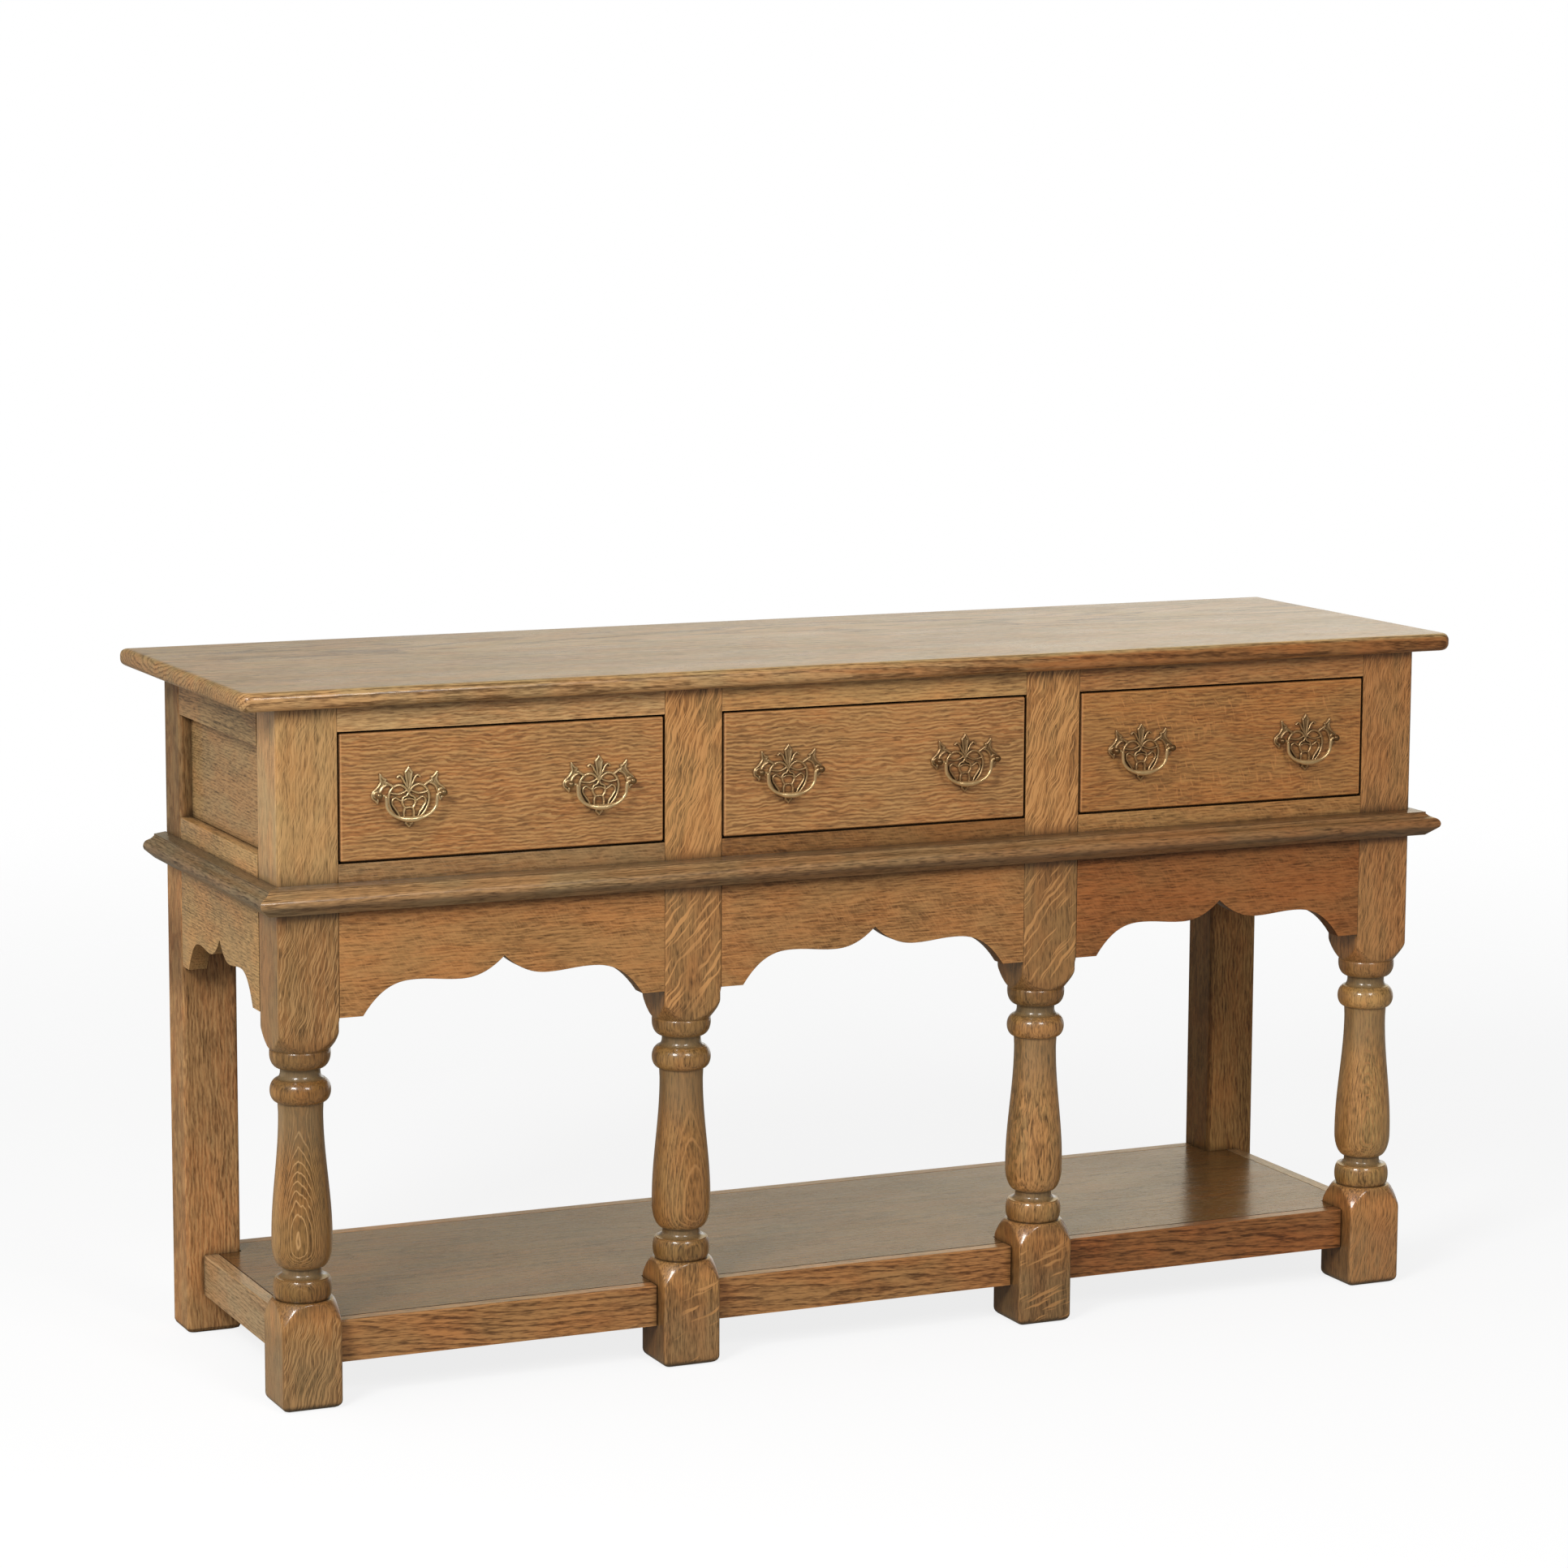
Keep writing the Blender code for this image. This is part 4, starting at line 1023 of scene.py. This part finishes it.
def relief_mesh():
    """The pierced plate as a cast relief: bands with rounded edges on a fine grid drawn to the outline."""
    grid = RELIEF_GRID * 1000
    xs = np.arange(-CELLS_ASIDE, CELLS_ASIDE + 1) * grid
    zs = np.arange(-CELLS_DOWN, CELLS_UP) * grid
    x, z = np.meshgrid(xs, zs, indexing="ij")
    distance = plate_distance(x, z)
    nudge = 0.02
    slope_x = (plate_distance(x + nudge, z) - plate_distance(x - nudge, z)) / (2 * nudge)
    slope_z = (plate_distance(x, z + nudge) - plate_distance(x, z - nudge)) / (2 * nudge)
    outside = np.where(distance > 0, distance, 0)
    x, z = x - outside * slope_x, z - outside * slope_z
    within = np.clip(-distance / BAND_ROUND, 0, 1)
    rise = PLATE_EDGE + (PLATE_THICK - PLATE_EDGE) * np.sqrt(1 - (1 - within) ** 2)
    rise -= DISH * np.clip((-distance - DISH_START) / DISH_WIDE, 0, 1)

    used = distance < 0
    cell = used[:-1, :-1] | used[1:, :-1] | used[:-1, 1:] | used[1:, 1:]
    index = np.arange(x.size).reshape(x.shape)
    quads = np.stack([index[:-1, :-1], index[1:, :-1], index[1:, 1:], index[:-1, 1:]], -1)[cell]
    front = np.stack([x / 1000, np.full_like(x, -GAP) - rise, z / 1000], -1).reshape(-1, 3)
    back = np.stack([x / 1000, np.full_like(x, -GAP), z / 1000], -1).reshape(-1, 3)
    faces = [tuple(q) for q in quads] + [tuple(q[::-1] + x.size) for q in quads]
    count = {}
    for q in quads:
        for a, b in zip(q, np.roll(q, -1)):
            key = (min(a, b), max(a, b))
            count[key] = None if key in count else (a, b)
    for pair in count.values():
        if pair is not None:
            a, b = pair
            faces.append((b, a, a + x.size, b + x.size))
    kept = np.unique(faces)
    points = np.concatenate([front, back])[kept]
    return mesh_from(points, np.searchsorted(kept, faces).tolist(), 55, 2e-6)


def lathe(profile, segments, angle=40):
    """A round solid about local Z through (radius, height) points."""
    turns = np.arange(segments) * 2 * np.pi / segments
    return loft([[(r * math.cos(t), r * math.sin(t), h) for t in turns] for r, h in profile], angle)


def post_mesh(across):
    """A turned post that stands out from the plate and carries the end of the bail."""
    profile = [(0.0044, GAP + 0.0002), (0.0044, 0.0020), (0.0038, 0.0027), (STEM, 0.0031), (STEM, 0.0050)]
    profile += [(r, POST_OUT + h) for r, h in arc((0.0, 0.0), (KNOB, KNOB), -52, 84, 14)]
    mesh = lathe(profile, 24)
    mesh.transform(Matrix.Translation((across, 0, 0)) @ Matrix.Rotation(math.pi / 2, 4, "X"))
    return mesh


def bail_mesh():
    """A drop bail about its pivot line: ends turned outwards into the posts, thickest where it is held."""
    reach = POST_HALF - KNOB + 0.0004
    limb = POST_HALF - KNOB - 0.0030
    path = [(-reach, 0.0), (-limb - 0.0018, -0.0001), (-limb - 0.0002, -0.0012), (-limb + 0.0006, -0.0036)]
    path += arc((0.0, -0.0100), (limb - 0.0012, BAIL_DROP - 0.0100), 180, 270, 9)
    path += [(-across, up) for across, up in reversed(path[:-1])]
    line = np.array(curve_through(path, 4))
    ahead = np.gradient(line, axis=0)
    ahead /= np.linalg.norm(ahead, axis=1)[:, None]
    rings = []
    turns = np.arange(WIRE_SIDES) * 2 * np.pi / WIRE_SIDES
    for (x, z), (tx, tz) in zip(line, ahead):
        held = math.exp(-(x / GRIP_HALF) ** 4) if z < -GRIP_BELOW else 0.0
        radius = WIRE * (1 + GRIP_SWELL * held) if abs(x) < limb else PIVOT
        rings.append([(x - tz * radius * math.cos(t), radius * math.sin(t), z + tx * radius * math.cos(t))
                      for t in turns])
    return loft(rings, 50)


def handles():
    """Six handles from one casting: a plate with its posts, and the bail that swings in them."""
    metal = brass("old_brass", (0.62, 0.53, 0.47), (0.34, 0.30, 0.26))
    handled = brass("handled_brass", (0.92, 0.84, 0.76))
    plate = joined([relief_mesh(), post_mesh(-POST_HALF), post_mesh(POST_HALF)])
    bail = bail_mesh()
    for bail_body, pivot in PIVOTS.items():
        handle = bail_body.removesuffix("_bail")
        drawer = handle.rsplit("_", 1)[0]
        mesh = plate.copy()
        mesh.transform(Matrix.Translation((pivot.x, DRAWER_FACE, pivot.z)))
        piece(f"{handle}_scroll_plate", mesh, metal, drawer, "brass", f"{handle}_plate")
        mesh = bail.copy()
        mesh.transform(Matrix.Translation(pivot))
        piece(f"{handle}_drop_bail", mesh, handled, bail_body, "brass", bail_body)


# Boards that keep their solids
def dress(node, material, easing=0.0008):
    """A CAD board with its own grain and slightly rounded edges."""
    board = NODES[node]
    board.data.materials.clear()
    board.data.materials.append(material)
    weld = board.modifiers.new("weld", "WELD")
    weld.merge_threshold = 0.00001
    soft = board.modifiers.new("edges", "BEVEL")
    soft.width = easing
    soft.segments = 3
    soft.limit_method = "ANGLE"
    soft.angle_limit = math.radians(40)
    soft.harden_normals = True


def oak_board(node, name, along, seed, tone, *figures, easing=0.0008, **looks):
    """A CAD board in polished oak of its own."""
    dress(node, oak(name, node, along, seed, tone, figures, **looks), easing)


def drawers_and_rails(inside):
    """Each bay's top rail, stretcher and drawer, from boards of different tones."""
    low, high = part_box("drawer_1_left_side")
    drawer_side = oak_inside("oak_drawer_side", "Y", 63, dovetails(low.z, high.z, low.y))
    flecks = rays(0.45, 75, (0.0026, 0.010, 0.016), few=0.60, bare=0.42, bright=1.40)
    tones = ((STRAW, WARM, HONEY), (GOLDEN, WARM, HONEY), (WARM, RED, COPPER))
    drawn = ([ripple_lines(0.66)], [ripple_lines(0.66)], [ripple_lines(0.42), flecks])
    for number, (rail, stretcher, front) in enumerate(tones, 1):
        oak_board(f"top_rail_{number}", f"oak_rail_{number}", "X", 70 + number, rail, ripple_lines(0.3),
                  pith=(0.3, 0.1), lines=0.2, easing=0.0004)
        oak_board(f"stretcher_front_{number}", f"oak_stretcher_{number}", "X", 80 + number, stretcher,
                  pith=(0.25, 0.06), spacing=0.0075, wander=0.06, tilt=3.0, lines=0.6, streaks=1.2, wear=0.8,
                  easing=0.0020)
        # Drawer fronts: painted shade of the gap along their edges, and a pale rim of wear and painted
        # highlight.
        oak_board(f"drawer_{number}_front", f"oak_drawer_{number}", "X", 90 + number, front,
                  *drawn[number - 1], gap_shade_and_rim(0.0013, (0, 2), 0.45), pith=(0.4, 0.3), lines=0.10,
                  streaks=0.6, wear=0.7, easing=0.0022)
        for board in ("left_side", "right_side"):
            dress(f"drawer_{number}_{board}", drawer_side)
        for board in ("back", "bottom"):
            dress(f"drawer_{number}_{board}", inside)


def ends_and_back(inside):
    """The back legs, the boards of both ends, the potboard and the unpolished back and runners."""
    tones = HONEY, TAWNY
    # The left back leg lifted in tone all over; the right one's inner left face darkened as painted shade.
    per_leg_tints = stain_and_shade_band(-1, 1, (1.10, 1.18, 1.34)), painted_light_by_facing(0, (0.40, 0.37, 0.32))
    for number, side in enumerate(("left", "right")):
        # A darker band about the apron's height: painted shadow under the apron, with dirt.
        oak_board(f"back_leg_{side}", f"oak_back_leg_{side}", "Z", 101 + number, tones[number],
                  ripple_lines(0.40), stain_and_shade_band(MOULD_LOW, 1, (0.54, 0.58, 0.60)),
                  stain_and_shade_band(APRON_LOW - 0.06, APRON_LOW + 0.08, (0.62, 0.60, 0.58), 0.05), per_leg_tints[number],
                  pith=(0.05, 0.4), tilt=1.0, lines=0.2, streaks=0.7, specular=0.25, coat=0.0)
        oak_board(f"side_top_rail_{side}", f"oak_side_rail_{side}", "Y", 104 + number, DULL, pith=(0.3, 0.1))
        oak_board(f"side_panel_{side}", f"oak_panel_{side}", "Y", 107 + number, DULL,
                  rays(0.35, 30, (0.0025, 0.008, 0.020)), pith=(0.3, 0.1))
        oak_board(f"stretcher_{side}", f"oak_stretcher_{side}", "Y", 110 + number, DULL,
                  stain_and_shade_band(-1, 1, (1.12, 1.20, 1.42)), pith=(0.1, 0.1))
    oak_board("stretcher_back", "oak_stretcher_back", "X", 113, WARM, pith=(0.1, 0.1))
    # The potboard's edges: painted shade of the joint with the rails.
    oak_board("potboard", "oak_potboard", "X", 114, BROWN, gap_shade_and_rim(0.0020, (0, 1)), pith=(0.2, 0.02),
              spacing=0.0045, coat=0.0, specular=0.42, rough=0.22)
    low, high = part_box("back_panel")
    dress("back_panel", oak_inside("oak_back", "X", 64, board_joint(low.z + 0.55 * (high.z - low.z))))
    dress("back_rail", inside)
    runner = oak_inside("oak_inside_y", "Y", 62)
    for place in ("left", "middle_left", "middle_right", "right"):
        dress(f"runner_{place}", runner)


# Studio
WARM_WALL = (1.20, 1.0, 0.62, 1)
PALE_WALL = (1.0, 0.98, 0.93, 1)
MIRRORED_FLOOR = (0.30, 0.23, 0.14, 1)
AMBIENT = 0.24
AMBIENT_LEFT = 0.72
BACKDROP = 1.24
ROOM = 0.15
FLOOR_REACH = 4.5
FLOOR_GAP = 0.0002
FLOOR_FADE = 1.6, 4.2
LAMP_ASIDE = 27
LAMP_UP = 32
LAMP_AWAY = 5.0
LAMP_SIZE = 1.2
LAMP_AIM = 0.45


def floor():
    """A pale floor that fades into the white beyond and keeps the object's shadow."""
    made, tree, shader = new_material("floor_paper")
    tree.nodes.remove(shader)
    place = add(tree, "TexCoord", out=3)
    far = step(tree, add(tree, "VectorMath", place, operation="LENGTH", out=1), *FLOOR_FADE)
    grain = noise(tree, place, (0.02, 0.02, 0.02), 3.0)
    ray = tree.nodes.new("ShaderNodeLightPath").outputs
    plain = mix(tree, grain, (0.48, 0.48, 0.48, 1), (0.52, 0.52, 0.52, 1))
    plain = mix(tree, ray["Is Glossy Ray"], plain, MIRRORED_FLOOR)
    paper = add(tree, "BsdfDiffuse", mix(tree, ray["Is Camera Ray"], plain, (0.95, 0.95, 0.95, 1)))
    glow = add(tree, "Emission", None, 1.03)
    mirrored = calc(tree, "MAXIMUM", ray["Is Glossy Ray"], ray["Is Transmission Ray"])
    seen = calc(tree, "MAXIMUM", product(tree, ray["Is Camera Ray"], 0.80), product(tree, mirrored, 0.06))
    lit = add(tree, "MixShader", seen, paper, glow)
    faded = add(tree, "MixShader", far, lit, add(tree, "BsdfTransparent"))
    feed(tree, tree.nodes["Material Output"].inputs[0], faded)
    corners = ((-1, -1), (1, -1), (1, 1), (-1, 1))
    mesh = mesh_from([(x * FLOOR_REACH, y * FLOOR_REACH, 0) for x, y in corners], [(0, 1, 2, 3)])
    mesh.materials.append(made)
    ground = placed("floor", mesh)
    ground.location.z = -FLOOR_GAP


def surroundings():
    """White where the camera looks; for light and reflections, a bright backdrop and a dimmer room."""
    world = bpy.data.worlds.new("studio")
    bpy.context.scene.world = world
    world.use_nodes = True
    tree = world.node_tree
    back = tree.nodes["Background"]
    ray = tree.nodes.new("ShaderNodeLightPath").outputs
    x, y, z = split(tree, add(tree, "TexCoord", out=0))[:3]
    behind = product(tree, step(tree, y, 0.20, 0.85), step(tree, x, 0.02, 0.72))
    mirrored = scaled(tree, behind, BACKDROP, ROOM)
    ambient = scaled(tree, step(tree, x, 0.1, -0.8), AMBIENT_LEFT, AMBIENT)
    level = scaled(tree, ray["Is Glossy Ray"], calc(tree, "SUBTRACT", mirrored, ambient), ambient)
    level = calc(tree, "MAXIMUM", level, ray["Is Camera Ray"])
    feed(tree, back.inputs["Strength"], calc(tree, "MAXIMUM", level, ray["Is Transmission Ray"]))
    wall = mix(tree, step(tree, z, 0.18, 0.27), PALE_WALL, WARM_WALL)
    feed(tree, back.inputs["Color"], mix(tree, ray["Is Glossy Ray"], (1, 1, 1, 1), wall))


def lamp(name, azimuth, watts):
    """A square soft box aimed at the middle of the dresser."""
    data = bpy.data.lights.new(name, "AREA")
    data.size = LAMP_SIZE
    data.energy = watts
    made = placed(name, data)
    a, e = math.radians(azimuth), math.radians(LAMP_UP)
    away = Vector((math.sin(a) * math.cos(e), -math.cos(a) * math.cos(e), math.sin(e)))
    made.location = Vector((0, 0, LAMP_AIM)) + away * LAMP_AWAY
    made.rotation_mode = "QUATERNION"
    made.rotation_quaternion = (-away).to_track_quat("-Z", "Y")


CAMERA_PLACE = (-2.20036, -4.80265, 1.42188)
CAMERA_YAW, CAMERA_PITCH, CAMERA_ROLL = -24.402, 8.445, 0.252
LENS = 102.43


def camera():
    """The photograph's view, turned and tilted by the angles in degrees."""
    yaw, pitch, roll = (math.radians(a) for a in (CAMERA_YAW, CAMERA_PITCH, CAMERA_ROLL))
    ahead = Vector((-math.sin(yaw) * math.cos(pitch), math.cos(yaw) * math.cos(pitch), -math.sin(pitch)))
    level = Vector((math.cos(yaw), math.sin(yaw), 0))
    upright = level.cross(ahead)
    right = level * math.cos(roll) + upright * math.sin(roll)
    up = upright * math.cos(roll) - level * math.sin(roll)
    data = bpy.data.cameras.new("camera")
    data.sensor_width = 36
    data.lens = LENS
    made = placed("camera", data)
    made.matrix_world = Matrix.Translation(CAMERA_PLACE) @ Matrix((right, up, -ahead)).transposed().to_4x4()
    bpy.context.scene.camera = made


front_legs()
aprons()
waist_moulding()
top_board()
handles()
oak_lengthwise = oak_inside("oak_inside_x", "X", 61)
drawers_and_rails(oak_lengthwise)
ends_and_back(oak_lengthwise)
floor()
surroundings()
lamp("left_softbox", CAMERA_YAW - LAMP_ASIDE, 112)
lamp("right_softbox", CAMERA_YAW + LAMP_ASIDE, 61)
camera()
bpy.context.scene.view_settings.view_transform = "Standard"
